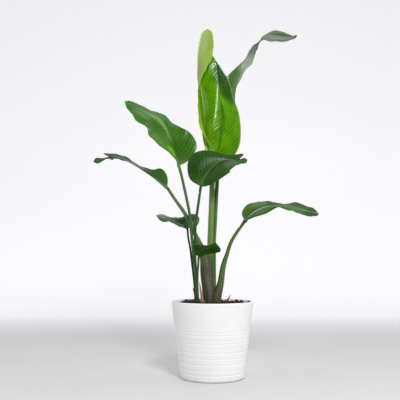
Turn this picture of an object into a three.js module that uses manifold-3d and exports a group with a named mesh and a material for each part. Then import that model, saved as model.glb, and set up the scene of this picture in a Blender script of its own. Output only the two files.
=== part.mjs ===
// A potted bird of paradise plant: a ribbed round planter, potting soil, and two shoots
// that carry eight leaves on long channelled stalks. Millimetres, +Z up. The origin is at
// the centre of the planter's underside, and the planter stands on the plane z = 0.
import * as THREE from 'three';
import { mergeVertices } from 'three/addons/utils/BufferGeometryUtils.js';
import Module from 'manifold-3d';

const wasm = await Module();
wasm.setup();

// ---- Driving dimensions ----
const POT_HEIGHT = 246;
const RIM_RADIUS = 135;
const FOOT_RADIUS = 102.5;
const WALL = 5;
const FLOOR = 8;
const EDGE_ROUNDING = 5;
const POT_SIDES = 36;
const GROOVE_HEIGHTS = [8.5, 21.5, 36, 54, 73, 91, 104, 120, 130, 146, 155];
const GROOVE_DEPTH = 0.8;
const GROOVE_HALF_WIDTH = 2.2;

const LIP_STEPS = 4;
const FOOT_BEVEL = 1.5;

const CLEARANCE = 0.3;
const SOIL_LEVEL = 238;
const SOIL_EDGE = 230;
const SOIL_SIDES = 32;
const SOIL_RINGS = 5;
const MOUND_CENTRE = [-20, -8];
const MOUND_HEIGHT = 3.5;
const MOUND_REACH = 60;
const CHUNK_COUNT = 14;
const CHUNK_SPREAD = 112;
const HOLE_TOP = 278;
const HOLE_SIDES = 12;
const WIDE_HOLE_SIDES = 24;

const STEM_FOOT = 190;
const BLADE_THICKNESS = 0.9;
const ROWS_PER_STATION = 2;
const RIB_SHARE = 0.8;
const RIB_TIP_RADIUS = 0.8;
const MAX_RIDGE_SHARE = 0.3;
const CHANNEL_SHARE = 0.25;
const STALK_SPAN = 250;
const STALK_ARC_STEPS = 3;
const GROWTH_ARC_STEPS = 4;
const STATIONS_INTO_RIB = 0.5;
const END_TAPER = 0.6;
const HALF_COLUMNS = 4;

// Points closer than this are one point of a solid.
const MERGE_DISTANCE = 1e-3;

// ---- Small helpers ----
const vector = ([x, y, z]) => new THREE.Vector3(x, y, z);
const degrees = THREE.MathUtils.degToRad;
const curveThrough = (points) => new THREE.CatmullRomCurve3(points, false, 'catmullrom', 0.5);
const group = new THREE.Group();

function seededRandom(seed) {
  let state = seed;
  return () => {
    state = (state * 1664525 + 1013904223) % 4294967296;
    return state / 4294967296;
  };
}

function geometryFrom(positions, faces) {
  const geometry = new THREE.BufferGeometry();
  geometry.setAttribute('position', new THREE.Float32BufferAttribute(positions, 3));
  geometry.setIndex(faces);
  return geometry;
}

function solidFrom(geometry) {
  const bare = geometry.clone();
  bare.deleteAttribute('normal');
  bare.deleteAttribute('uv');
  const merged = mergeVertices(bare, MERGE_DISTANCE);
  const triangles = [];
  const index = merged.index.array;
  for (let i = 0; i < index.length; i += 3) {
    const [a, b, c] = [index[i], index[i + 1], index[i + 2]];
    if (a !== b && b !== c && c !== a) triangles.push(a, b, c);
  }
  return new wasm.Manifold(new wasm.Mesh({
    numProp: 3,
    vertProperties: new Float32Array(merged.attributes.position.array),
    triVerts: new Uint32Array(triangles),
  }));
}

function geometryOf(solid) {
  const mesh = solid.getMesh();
  return geometryFrom(mesh.vertProperties, [...mesh.triVerts]);
}

function addPiece(name, geometry, color, roughness) {
  geometry.computeVertexNormals();
  const material = new THREE.MeshStandardMaterial({ color, roughness, metalness: 0 });
  const mesh = new THREE.Mesh(geometry, material);
  mesh.name = name;
  group.add(mesh);
}

// ---- Planter ----
function potRadius(height) {
  return FOOT_RADIUS + (RIM_RADIUS - FOOT_RADIUS) * height / POT_HEIGHT;
}

function potProfile() {
  const points = [new THREE.Vector2(0, 0)];
  points.push(new THREE.Vector2(FOOT_RADIUS - EDGE_ROUNDING / 2, 0));
  points.push(new THREE.Vector2(potRadius(FOOT_BEVEL) - FOOT_BEVEL / 2, FOOT_BEVEL));
  GROOVE_HEIGHTS.forEach((height, i) => {
    const next = GROOVE_HEIGHTS[i + 1] ?? height + 2 * GROOVE_HALF_WIDTH;
    const crest = (height + next) / 2;
    points.push(new THREE.Vector2(potRadius(height) - GROOVE_DEPTH, height));
    points.push(new THREE.Vector2(potRadius(crest), crest));
  });
  const lipHeight = POT_HEIGHT - WALL / 2;
  const lipCentre = potRadius(lipHeight) - WALL / 2;
  for (let step = 0; step <= LIP_STEPS; step += 1) {
    const angle = Math.PI * step / LIP_STEPS;
    points.push(new THREE.Vector2(
      lipCentre + Math.cos(angle) * WALL / 2,
      lipHeight + Math.sin(angle) * WALL / 2,
    ));
  }
  points.push(new THREE.Vector2(potRadius(FLOOR + EDGE_ROUNDING) - WALL, FLOOR + EDGE_ROUNDING));
  points.push(new THREE.Vector2(potRadius(FLOOR) - WALL - EDGE_ROUNDING, FLOOR));
  points.push(new THREE.Vector2(0, FLOOR));
  return points;
}

function makePot() {
  const geometry = new THREE.LatheGeometry(potProfile(), POT_SIDES);
  geometry.rotateX(Math.PI / 2);
  return geometryOf(solidFrom(geometry));
}

// ---- Channelled stalks and ribs ----
// A section is a crescent: an arc of an outer radius and, inside it, an arc of an inner
// radius. A wide thin crescent is a sheath, and one with a small inner arc is a stalk with
// a channel along its upper side. `back` points to the closed side of the crescent.
function crescent(centre, tangent, back, size, steps) {
  const away = back.clone().addScaledVector(tangent, -back.dot(tangent)).normalize();
  const across = new THREE.Vector3().crossVectors(tangent, away);
  const span = degrees(size.span);
  const ring = [];
  for (let k = 0; k <= 2 * steps + 1; k += 1) {
    const onOuterArc = k <= steps;
    const share = onOuterArc ? k / steps : (2 * steps + 1 - k) / steps;
    const radius = onOuterArc ? size.outer : size.inner;
    const angle = (share - 0.5) * span;
    ring.push(centre.clone()
      .addScaledVector(away, Math.cos(angle) * radius)
      .addScaledVector(across, Math.sin(angle) * radius));
  }
  return ring;
}

function sweep(rings, steps) {
  const count = 2 * steps + 2;
  const positions = rings.flat().flatMap((point) => point.toArray());
  const faces = [];
  for (let i = 0; i + 1 < rings.length; i += 1) {
    for (let k = 0; k < count; k += 1) {
      const next = (k + 1) % count;
      const low = i * count;
      const high = low + count;
      faces.push(low + k, low + next, high + next, low + k, high + next, high + k);
    }
  }
  const top = (rings.length - 1) * count;
  for (let k = 0; k < steps; k += 1) {
    const inner = count - 1 - k;
    faces.push(k, inner - 1, k + 1, k, inner, inner - 1);
    faces.push(top + k, top + k + 1, top + inner - 1, top + k, top + inner - 1, top + inner);
  }
  return geometryFrom(positions, faces);
}

// ---- Leaf blades ----
// A blade hangs on three rails that run from the joint to the tip: its rib and its left and
// right margins, as seen from its upper side with the tip away. Each half is a sheet drawn
// from the rib to its margin, with an arch, an optional lengthwise crest and a wavy margin.
function bladeRails({ rib, leftMargin, rightMargin }) {
  const ends = (margin) => [rib[0], ...margin, rib[rib.length - 1]].map(vector);
  return {
    rib: curveThrough(rib.map(vector)),
    left: curveThrough(ends(leftMargin)),
    right: curveThrough(ends(rightMargin)),
    stations: rib.length,
  };
}

function upperSide(rails, side, t) {
  const width = rails[side].getPoint(t).sub(rails.rib.getPoint(t));
  const tangent = rails.rib.getTangent(t);
  const normal = new THREE.Vector3().crossVectors(tangent, width);
  if (side === 'right') normal.negate();
  return normal.lengthSq() > 1e-6 ? normal.normalize() : normal.set(0, 0, 0);
}

function bladePoint(rails, shape, side, t, s) {
  const start = rails.rib.getPoint(t);
  const margin = rails[side].getPoint(t);
  const width = start.distanceTo(margin);
  const fade = Math.sin(Math.PI * t);
  const { arch, waves, crestAt = 0.5, crestHeight = 0 } = shape[side];
  const wave = waves.height * s * s * Math.sin(2 * Math.PI * (waves.count * t + waves.phase)) * fade;
  const crest = crestHeight * fade * Math.sin(Math.PI * s ** (Math.log(0.5) / Math.log(crestAt)));
  const lift = 4 * arch * width * s * (1 - s) + wave + crest;
  return start.lerp(margin, s).addScaledVector(upperSide(rails, side, t), lift);
}

// The rib is a ridge under the blade. Each row of the blade has a point on the rib, one at
// the ridge's foot on each side, and the others spread evenly from there to the margin.
function ribRadius(frond, t) {
  const sizes = stalkSizes(frond);
  const jointRadius = sizes[sizes.length - 1].outer * RIB_SHARE;
  return THREE.MathUtils.lerp(jointRadius, RIB_TIP_RADIUS, Math.sqrt(t));
}

function acrossBlade(rails, frond, side, t, step, columns) {
  if (step === 0) return 0;
  const width = rails.rib.getPoint(t).distanceTo(rails[side].getPoint(t));
  const foot = Math.min(MAX_RIDGE_SHARE, ribRadius(frond, t) / width);
  return foot + (1 - foot) * (step - 1) / (columns - 1);
}

function bladeSheet(rails, frond, columns) {
  const rows = (rails.stations - 1) * ROWS_PER_STATION;
  const points = [];
  const depths = [];
  const index = [];
  for (let row = 0; row <= rows; row += 1) {
    const t = row / rows;
    const atEnd = row === 0 || row === rows;
    index.push([]);
    for (let column = 0; column <= 2 * columns; column += 1) {
      const side = column < columns ? 'left' : 'right';
      const step = Math.abs(column - columns);
      if (!atEnd || column === 0) {
        const s = atEnd ? 0 : acrossBlade(rails, frond, side, t, step, columns);
        points.push(bladePoint(rails, frond, side, t, s));
        depths.push(atEnd || step > 0 ? BLADE_THICKNESS / 2 : 2 * ribRadius(frond, t));
      }
      index[row].push(points.length - 1);
    }
  }
  const faces = [];
  for (let row = 0; row < rows; row += 1) {
    for (let column = 0; column < 2 * columns; column += 1) {
      const [a, b] = [index[row][column], index[row][column + 1]];
      const [c, d] = [index[row + 1][column + 1], index[row + 1][column]];
      const halves = column < columns ? [[a, b, c], [a, c, d]] : [[a, b, d], [b, c, d]];
      faces.push(...halves.filter(([p, q, r]) => p !== q && q !== r && r !== p));
    }
  }
  return { points, depths, faces };
}

// Gives a sheet its thickness: half of it above each point, and `depths` below.
function thicken({ points, depths, faces }) {
  const normals = points.map(() => new THREE.Vector3());
  const edges = new Map();
  for (const face of faces) {
    const [a, b, c] = face.map((i) => points[i]);
    const normal = new THREE.Vector3().crossVectors(b.clone().sub(a), c.clone().sub(a));
    face.forEach((i) => normals[i].add(normal));
    face.forEach((i, k) => edges.set(`${i},${face[(k + 1) % 3]}`, [i, face[(k + 1) % 3]]));
  }
  normals.forEach((normal) => normal.normalize());
  const positions = [
    ...points.flatMap((point, i) => point.clone().addScaledVector(normals[i], BLADE_THICKNESS / 2).toArray()),
    ...points.flatMap((point, i) => point.clone().addScaledVector(normals[i], -depths[i]).toArray()),
  ];
  const under = points.length;
  const triangles = faces.flatMap(([a, b, c]) => [a, b, c, under + a, under + c, under + b]);
  for (const [a, b] of edges.values()) {
    if (!edges.has(`${b},${a}`)) triangles.push(a, under + a, under + b, a, under + b, b);
  }
  return geometryFrom(positions, triangles);
}

// ---- A frond: one blade and its stalk, grown as one piece ----
function stalkSizes(frond) {
  if (frond.sizes) return frond.sizes.map(([outer, inner, span]) => ({ outer, inner, span }));
  const last = frond.stalk.length - 1;
  return frond.stalk.map((_, i) => {
    const outer = THREE.MathUtils.lerp(frond.footRadius, frond.jointRadius, i / last);
    return { outer, inner: outer * CHANNEL_SHARE, span: STALK_SPAN };
  });
}

// A sweep of crescents along a row of centres; each centre has its own size and back.
function crescentSweep(centres, backs, sizes, steps) {
  const last = centres.length - 1;
  const rings = centres.map((centre, i) => {
    const tangent = centres[Math.min(i + 1, last)].clone().sub(centres[Math.max(i - 1, 0)]);
    return crescent(centre, tangent.normalize(), backs[i], sizes[i], steps);
  });
  return sweep(rings, steps);
}

function ribUnderside(rails, t) {
  const up = upperSide(rails, 'left', t).add(upperSide(rails, 'right', t));
  return up.normalize().negate();
}

function makeStalk(frond, rails) {
  const intoBlade = STATIONS_INTO_RIB / (rails.stations - 1);
  const centres = [...frond.stalk.map(vector), rails.rib.getPoint(0), rails.rib.getPoint(intoBlade)];
  const sizes = stalkSizes(frond);
  const joint = sizes[sizes.length - 1];
  sizes.push(joint, { ...joint, outer: joint.outer * END_TAPER, inner: joint.inner * END_TAPER });
  const underside = ribUnderside(rails, intoBlade);
  const stalkBacks = frond.backs ?? frond.stalk.map(() => frond.back);
  const backs = [...stalkBacks.map(vector), underside, underside];
  return crescentSweep(centres, backs, sizes, frond.arcSteps ?? STALK_ARC_STEPS);
}

// The largest connected body of a solid: loose scraps and sealed pockets are left out.
function largestBody(solid) {
  return solid.decompose().reduce((best, body) => (body.volume() > best.volume() ? body : best));
}

function makeFrond(frond) {
  const rails = bladeRails(frond);
  const blade = solidFrom(thicken(bladeSheet(rails, frond, frond.columns ?? HALF_COLUMNS)));
  const stalk = solidFrom(makeStalk(frond, rails));
  return geometryOf(largestBody(blade.add(stalk)));
}

// A stalk that rises straight from its foot in the soil and then follows its own points.
function risingFrom(x, y, points) {
  return [[x, y, STEM_FOOT], [x, y, SOIL_LEVEL + 10], ...points];
}

// How one half of a blade is curved: the height of its arch as a share of its width, and
// the height, number and phase of the waves along its margin.
function half(arch, height, count, phase) {
  return { arch, waves: { height, count, phase } };
}

const fronds = [
  {
    name: 'frond_tall_unfurling',
    color: 0x6fae2b,
    roughness: 0.35,
    stalk: risingFrom(-9, 2, [
      [-5, 2, 314], [-6, 2, 386], [-6, 3, 435], [-3, 5, 512], [1, 9, 612], [-1, 12, 656],
    ]),
    footRadius: 10.4,
    jointRadius: 10.2,
    backs: [...Array(5).fill([-0.8, -0.6, 0]), [-0.92, -0.4, 0], [-1, -0.1, 0], [-0.8, 0.6, 0]],
    columns: 5,
    rib: [
      [-9, 14, 694], [-18, 16, 742], [-25, 18, 790], [-27, 20, 839], [-28, 21, 887],
      [-34, 22, 936], [-44, 24, 992], [-46, 26, 1042], [-46, 28, 1091], [-40, 29, 1129],
      [-31, 30, 1161], [-14, 30, 1174],
    ],
    leftMargin: [
      [10, 4, 723], [1, -8, 758], [-23, -26, 789], [-44, -48, 821], [-47, -64, 877],
      [-43, -60, 942], [-26, -42, 1001], [-2, -22, 1056], [6, -4, 1105], [2, 12, 1153],
    ],
    rightMargin: [
      [44, 26, 696], [89, 30, 754], [99, 32, 817], [92, 33, 883], [74, 35, 932], [57, 38, 994],
      [30, 39, 1043], [4, 36, 1078], [-6, 32, 1121], [-9, 30, 1152],
    ],
    left: half(-0.02, 2, 3, 0.1),
    right: { ...half(0.02, 2, 4, 0.3), crestAt: 0.36, crestHeight: 18 },
  },
  {
    name: 'frond_tall_twisted',
    color: 0x3d7436,
    roughness: 0.45,
    stalk: risingFrom(5, 17, [
      [6, 17, 313], [6, 19, 386], [6, 21, 436], [11, 27, 523], [16, 34, 615], [22, 42, 701],
      [32, 49, 772],
    ]),
    footRadius: 7,
    jointRadius: 6.8,
    back: [0.8, 0.6, 0],
    rib: [
      [44, 56, 843], [58, 62, 900], [70, 68, 951], [83, 73, 997], [101, 78, 1036], [123, 82, 1069],
      [143, 86, 1104], [158, 89, 1129], [172, 92, 1151], [194, 96, 1168], [223, 99, 1172],
      [261, 102, 1170], [286, 104, 1169], [307, 106, 1179],
    ],
    leftMargin: [
      [19, 74, 896], [30, 84, 959], [55, 88, 1020], [86, 86, 1055], [113, 74, 1077],
      [131, 66, 1106], [150, 72, 1130], [170, 84, 1152], [187, 108, 1181], [219, 122, 1199],
      [259, 124, 1197], [289, 114, 1181],
    ],
    rightMargin: [
      [81, 46, 886], [81, 40, 938], [87, 38, 977], [113, 38, 1027], [143, 48, 1057],
      [151, 60, 1092], [162, 78, 1126], [175, 88, 1147], [189, 78, 1150], [216, 74, 1146],
      [258, 80, 1145], [297, 98, 1163],
    ],
    left: half(-0.08, 3, 5, 0.2),
    right: half(-0.08, 3, 4, 0.7),
  },
  {
    name: 'frond_upper_left',
    color: 0x3f8a2c,
    roughness: 0.4,
    stalk: risingFrom(-49, -38, [
      [-51, -40, 315], [-61, -46, 396], [-69, -50, 476], [-73, -48, 522], [-80, -44, 561],
      [-90, -37, 608], [-100, -28, 652],
    ]),
    footRadius: 4.8,
    jointRadius: 4.9,
    back: [-0.9, 0.4, 0],
    rib: [
      [-110, -20, 689], [-117, -15, 720], [-124, -9, 748], [-137, -2, 780], [-153, 8, 814],
      [-166, 14, 834], [-183, 21, 856], [-218, 34, 878], [-261, 46, 902], [-301, 58, 927],
    ],
    leftMargin: [
      [-121, -34, 709], [-145, -50, 730], [-175, -40, 757], [-210, -14, 790], [-219, 2, 822],
      [-252, 14, 844], [-272, 28, 873], [-293, 46, 901],
    ],
    rightMargin: [
      [-78, -24, 708], [-51, -22, 752], [-69, -10, 798], [-110, 8, 827], [-134, 24, 844],
      [-162, 44, 873], [-216, 58, 899], [-276, 64, 927],
    ],
    left: half(-0.08, 2, 5, 0.2),
    right: half(0.03, 2, 4, 0.6),
  },
  {
    name: 'frond_lower_left',
    color: 0x45803a,
    roughness: 0.45,
    stalk: risingFrom(-8, 4, [
      [-19, -6, 330], [-26, -8, 386], [-40, -12, 428], [-55, -17, 461], [-73, -21, 500],
      [-95, -25, 539], [-121, -30, 575],
    ]),
    sizes: [
      [21.6, 17.6, 250], [21.6, 17.6, 250], [20.2, 16.6, 240], [15.5, 11.5, 225], [11, 5, 220],
      [7.6, 1.9, 230], [6.8, 1.7, 240], [6.2, 1.5, 250], [5.2, 1.3, 250],
    ],
    arcSteps: 7,
    back: [-0.75, -0.66, 0],
    rib: [
      [-147, -34, 615], [-167, -36, 632], [-191, -40, 651], [-215, -44, 667], [-241, -48, 683],
      [-269, -52, 699], [-298, -56, 708], [-318, -58, 712], [-327, -60, 711], [-337, -62, 709],
      [-353, -63, 706], [-371, -64, 701], [-387, -64, 697],
    ],
    leftMargin: [
      [-146, -60, 649], [-164, -74, 672], [-191, -84, 669], [-223, -92, 677], [-259, -97, 696],
      [-294, -96, 714], [-329, -88, 721], [-352, -76, 721], [-329, -68, 714], [-352, -74, 708],
      [-375, -78, 707],
    ],
    rightMargin: [
      [-157, -14, 640], [-181, 2, 662], [-211, 8, 671], [-239, 4, 684], [-266, -2, 700],
      [-299, -12, 709], [-320, -28, 711], [-329, -44, 708], [-339, -52, 708], [-355, -52, 702],
      [-375, -52, 693],
    ],
    left: half(-0.06, 1.5, 4, 0.4),
    right: half(0.06, 1.5, 4, 0.1),
  },
  {
    name: 'frond_front_dark',
    color: 0x2f5a26,
    roughness: 0.45,
    stalk: risingFrom(-51, -20, [
      [-53, -24, 315], [-57, -28, 396], [-57, -32, 444], [-55, -38, 493], [-50, -44, 532],
      [-44, -52, 573],
    ]),
    footRadius: 5,
    jointRadius: 4.4,
    back: [0.3, -0.95, 0],
    rib: [
      [-38, -60, 616], [-32, -61, 633], [-21, -61, 652], [-5, -60, 674], [16, -59, 693],
      [41, -58, 703], [64, -58, 701], [77, -58, 700], [88, -58, 699], [103, -59, 701],
      [114, -60, 704],
    ],
    leftMargin: [
      [-74, -54, 643], [-81, -46, 693], [-65, -40, 725], [-24, -36, 739], [18, -36, 733],
      [58, -42, 721], [101, -48, 725], [88, -55, 707], [105, -57, 710],
    ],
    rightMargin: [
      [-21, -70, 616], [4, -86, 625], [25, -100, 638], [52, -106, 653], [56, -98, 666],
      [72, -86, 678], [82, -74, 687], [95, -68, 689], [110, -62, 694],
    ],
    left: half(0.12, 2, 4, 0.8),
    right: half(0.08, 2, 5, 0.3),
  },
  {
    name: 'frond_small_left',
    color: 0x35594a,
    roughness: 0.5,
    stalk: risingFrom(-55, -2, [
      [-57, -2, 281], [-61, -2, 324], [-67, -2, 373], [-73, 0, 419], [-80, 3, 458],
    ]),
    footRadius: 4,
    jointRadius: 3.4,
    back: [-0.8, 0.6, 0],
    rib: [
      [-82, 8, 484], [-89, 14, 492], [-99, 22, 500], [-113, 32, 506], [-130, 44, 513],
      [-148, 54, 519], [-169, 66, 526], [-192, 80, 532],
    ],
    leftMargin: [
      [-86, -2, 481], [-103, 0, 488], [-122, 12, 495], [-139, 26, 508], [-155, 36, 505],
      [-177, 54, 514],
    ],
    rightMargin: [
      [-54, 16, 490], [-42, 26, 516], [-62, 40, 535], [-98, 56, 524], [-135, 68, 523],
      [-168, 76, 536],
    ],
    left: half(0.1, 1.5, 4, 0.5),
    right: half(0.1, 1.5, 3, 0.2),
  },
  {
    name: 'frond_right',
    color: 0x47853a,
    roughness: 0.45,
    stalk: risingFrom(6, -1, [
      [24, -4, 301], [35, -8, 360], [48, -12, 399], [60, -16, 435], [79, -20, 468],
    ]),
    sizes: [
      [24, 20, 150], [24, 20, 150], [13.8, 9.2, 200], [10, 3.6, 215], [7.4, 2, 230],
      [6.3, 1.6, 240], [5.6, 1.4, 250],
    ],
    arcSteps: 7,
    back: [0.87, -0.5, 0],
    rib: [
      [106, -24, 506], [117, -25, 518], [133, -27, 531], [156, -29, 545], [181, -31, 554],
      [211, -33, 557], [244, -35, 554], [276, -38, 547], [305, -41, 539], [329, -43, 534],
      [346, -44, 530],
    ],
    leftMargin: [
      [98, 0, 535], [113, 10, 561], [144, 14, 570], [170, 12, 577], [203, 10, 571], [238, 6, 565],
      [269, 0, 571], [301, -10, 561], [331, -26, 549],
    ],
    rightMargin: [
      [120, -46, 511], [145, -58, 519], [174, -64, 530], [202, -70, 544], [229, -72, 544],
      [254, -70, 536], [280, -64, 527], [311, -58, 521], [337, -50, 521],
    ],
    left: half(0.06, 2, 4, 0.2),
    right: half(0.1, 2, 4, 0.6),
  },
  {
    name: 'frond_small_front',
    color: 0x2f6a24,
    roughness: 0.45,
    stalk: risingFrom(-46, -58, [
      [-48, -58, 291], [-48, -61, 332], [-46, -66, 367],
    ]),
    footRadius: 3.6,
    jointRadius: 3.4,
    back: [0.3, -0.95, 0],
    rib: [
      [-45, -74, 389], [-43, -84, 402], [-34, -100, 411], [-22, -118, 415], [-8, -134, 418],
      [8, -146, 434],
    ],
    leftMargin: [
      [-34, -82, 391], [-12, -98, 399], [12, -114, 401], [24, -128, 412],
    ],
    rightMargin: [
      [-58, -78, 402], [-61, -92, 426], [-37, -114, 427], [-17, -132, 425],
    ],
    left: half(0.1, 1, 3, 0.5),
    right: half(0.1, 1, 3, 0.2),
  },
];

// ---- Soil: a bumpy top, loose chunks and plain holes for what stands in it ----
function soilHeight(x, y) {
  const bumps = 1.4 * Math.sin(x / 11) * Math.cos(y / 13) + 0.9 * Math.sin((x + 2 * y) / 7);
  const fromMound = Math.hypot(x - MOUND_CENTRE[0], y - MOUND_CENTRE[1]);
  return SOIL_LEVEL - 2 + bumps + MOUND_HEIGHT * Math.exp(-((fromMound / MOUND_REACH) ** 2));
}

function soilBody() {
  const bottom = FLOOR + CLEARANCE;
  const bottomRadius = potRadius(bottom) - WALL - EDGE_ROUNDING - CLEARANCE;
  const cornerHeight = FLOOR + EDGE_ROUNDING;
  const wallRadius = (height) => (potRadius(height) - WALL - CLEARANCE) * Math.cos(Math.PI / SOIL_SIDES);
  const points = [[0, 0, soilHeight(0, 0)]];
  const faces = [];
  const ringStart = (ring) => 1 + (ring - 1) * SOIL_SIDES;
  const addRing = (radius, heightAt) => {
    for (let k = 0; k < SOIL_SIDES; k += 1) {
      const angle = 2 * Math.PI * k / SOIL_SIDES;
      const [x, y] = [radius * Math.cos(angle), radius * Math.sin(angle)];
      points.push([x, y, heightAt(x, y)]);
    }
  };
  for (let ring = 1; ring <= SOIL_RINGS; ring += 1) {
    addRing(wallRadius(SOIL_EDGE) * ring / SOIL_RINGS, soilHeight);
  }
  addRing(wallRadius(cornerHeight), () => cornerHeight);
  addRing(bottomRadius * Math.cos(Math.PI / SOIL_SIDES), () => bottom);
  points.push([0, 0, bottom]);
  for (let k = 0; k < SOIL_SIDES; k += 1) {
    const next = (k + 1) % SOIL_SIDES;
    faces.push(0, ringStart(1) + k, ringStart(1) + next);
    for (let ring = 1; ring < SOIL_RINGS + 2; ring += 1) {
      const [inner, outer] = [ringStart(ring), ringStart(ring + 1)];
      faces.push(inner + k, outer + k, outer + next, inner + k, outer + next, inner + next);
    }
    faces.push(ringStart(SOIL_RINGS + 2) + k, points.length - 1, ringStart(SOIL_RINGS + 2) + next);
  }
  return solidFrom(geometryFrom(points.flat(), faces));
}

function soilChunk(random) {
  const distance = CHUNK_SPREAD * Math.sqrt(random());
  const angle = 2 * Math.PI * random();
  const size = 3 + 4 * random();
  const chunk = new THREE.IcosahedronGeometry(size, 0);
  chunk.scale(1, 0.7 + 0.4 * random(), 0.55);
  chunk.rotateZ(Math.PI * random());
  const [x, y] = [distance * Math.cos(angle), distance * Math.sin(angle)];
  chunk.translate(x, y, soilHeight(x, y) + 0.5);
  return solidFrom(chunk);
}

// A plain round hole from the soil's surface down to just below a stem's foot.
function stemHole(x, y, radius, sides) {
  const height = HOLE_TOP - STEM_FOOT + CLEARANCE;
  const hole = new THREE.CylinderGeometry(1, 1, height, sides);
  const fitted = (radius + CLEARANCE) / Math.cos(Math.PI / sides);
  hole.scale(fitted, 1, fitted);
  hole.rotateX(Math.PI / 2);
  hole.translate(x, y, HOLE_TOP - height / 2);
  return solidFrom(hole);
}

function makeSoil(holes) {
  const random = seededRandom(7);
  let soil = soilBody();
  for (let i = 0; i < CHUNK_COUNT; i += 1) soil = soil.add(soilChunk(random));
  for (const [x, y, radius, sides] of holes) soil = soil.subtract(stemHole(x, y, radius, sides));
  return geometryOf(soil);
}

// ---- Small growths at the foot: each is one tapering crescent ----
function makeGrowth({ points, sizes, back }) {
  const named = sizes.map(([outer, inner, span]) => ({ outer, inner, span }));
  return crescentSweep(points.map(vector), points.map(() => vector(back)), named, GROWTH_ARC_STEPS);
}

const growths = [
  {
    name: 'dry_scale',
    color: 0xc98a83,
    roughness: 0.8,
    points: [[-31, 3, STEM_FOOT], [-31, 3, 248], [-33.5, 3, 270], [-37.5, 2.5, 290], [-41.5, 2, 308]],
    sizes: [[8, 6.7, 120], [8, 6.7, 120], [6.8, 5.6, 112], [4.5, 3.6, 100], [1.4, 0.6, 90]],
    back: [-0.7, -0.7, 0],
  },
  {
    name: 'red_sprout',
    color: 0x9a4a34,
    roughness: 0.6,
    points: [[47, 2, STEM_FOOT], [47, 2, 240], [51, 1, 250], [56, 0, 258], [60, 0, 265]],
    sizes: [[3.4, 0.8, 250], [3.4, 0.8, 250], [3, 0.7, 250], [1.9, 0.5, 250], [0.7, 0.2, 250]],
    back: [0.8, -0.6, 0],
  },
  {
    name: 'dry_stub',
    color: 0x4a4034,
    roughness: 0.9,
    points: [[-57, 14, STEM_FOOT], [-57, 14, 248], [-59, 13, 270], [-62, 12, 286]],
    sizes: [[2.4, 0.6, 250], [2.4, 0.6, 250], [2.2, 0.5, 250], [3, 0.8, 250]],
    back: [-1, 0, 0],
  },
];

// ---- Assembly ----
// Each hole is x, y, radius and number of sides.
const holes = [
  ...fronds.map(({ stalk: [[x, y]], sizes, footRadius }) => {
    return sizes ? [x, y, sizes[0][0], WIDE_HOLE_SIDES] : [x, y, footRadius, HOLE_SIDES];
  }),
  ...growths.map(({ points: [[x, y]], sizes }) => [x, y, sizes[0][0], HOLE_SIDES]),
];

addPiece('pot', makePot(), 0xf2f2f0, 0.35);
addPiece('soil', makeSoil(holes), 0x2a1d17, 0.95);
for (const frond of fronds) addPiece(frond.name, makeFrond(frond), frond.color, frond.roughness);
for (const growth of growths) addPiece(growth.name, makeGrowth(growth), growth.color, growth.roughness);

export default group;
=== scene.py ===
"""A potted bird of paradise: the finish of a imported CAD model, in metres, +Z up.

Every frond is one mesh: a thin veined blade with a ridged rib, and its channelled stalk.
The planter is a turned shell, and the soil a bumpy top with loose chunks on it.
"""
import math
import random

import bmesh
import bpy
import numpy as np
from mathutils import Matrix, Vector, noise


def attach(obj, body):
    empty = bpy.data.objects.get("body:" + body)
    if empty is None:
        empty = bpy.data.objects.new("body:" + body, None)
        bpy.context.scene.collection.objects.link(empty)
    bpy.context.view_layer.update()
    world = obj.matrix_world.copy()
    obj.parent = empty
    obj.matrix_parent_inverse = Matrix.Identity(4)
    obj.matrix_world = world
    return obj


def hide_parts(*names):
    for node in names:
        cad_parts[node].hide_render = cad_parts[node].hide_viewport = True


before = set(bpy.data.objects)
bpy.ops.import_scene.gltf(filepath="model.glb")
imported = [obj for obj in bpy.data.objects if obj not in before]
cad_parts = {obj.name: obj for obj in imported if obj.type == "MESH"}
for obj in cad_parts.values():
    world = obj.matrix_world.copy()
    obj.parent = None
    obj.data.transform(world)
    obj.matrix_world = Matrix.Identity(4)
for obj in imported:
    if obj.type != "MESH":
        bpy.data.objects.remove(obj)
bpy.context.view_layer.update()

TURN = 2 * math.pi
NO_LENGTH = 1e-12

# ---- Driving dimensions, metres ----
POT_HEIGHT = 0.246
RIM_RADIUS = 0.135
FOOT_RADIUS = 0.1025
WALL = 0.005
GROOVE_HEIGHTS = (0.0085, 0.0215, 0.036, 0.054, 0.073, 0.091, 0.104, 0.120, 0.130, 0.146, 0.155)
GROOVE_STRENGTHS = (0.5, 1.0, 0.6, 1.0, 0.7, 1.0, 0.35, 0.8, 0.7, 0.7, 0.8)
GROOVE_DEPTH = 0.0008
GROOVE_HALF_WIDTH = 0.0021
EDGE_ROUNDING = 0.007
POT_SIDES = 144

SOIL_LEVEL = 0.238
STEM_FOOT = 0.190
STRAIGHT_RISE = 0.010
CLEARANCE = 0.0004

BLADE_THICKNESS = 0.0009
RIB_SHARE = 0.8
RIB_TIP_RADIUS = 0.0008
MAX_RIDGE_SHARE = 0.3
CHANNEL_SHARE = 0.25
THINNEST = 0.0001
STALK_SPAN = 250.0

# Veins, pleats and ruffles, metres: the height, length and phase of each wave that makes them up.
VEIN_BEND = 0.35
PLEAT_WANDER = ((0.5, 0.043, 1.0), (0.4, 0.071, 0.0))
PLEAT_LENGTH = 0.0135
FINE_PLEAT_LENGTH = 0.0061
FINE_PLEAT_DRIFT = 1.7
FINE_PLEAT_SHARE = 0.3
PLEAT_ONSET = 5
PLAIN_SWEEP, PLAIN_PLEAT = 0.7, 0.00015
RUFFLES = ((0.0011, 0.052, 0.0), (0.00066, 0.031, 2.0))
RUFFLE_POWER = 4

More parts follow.
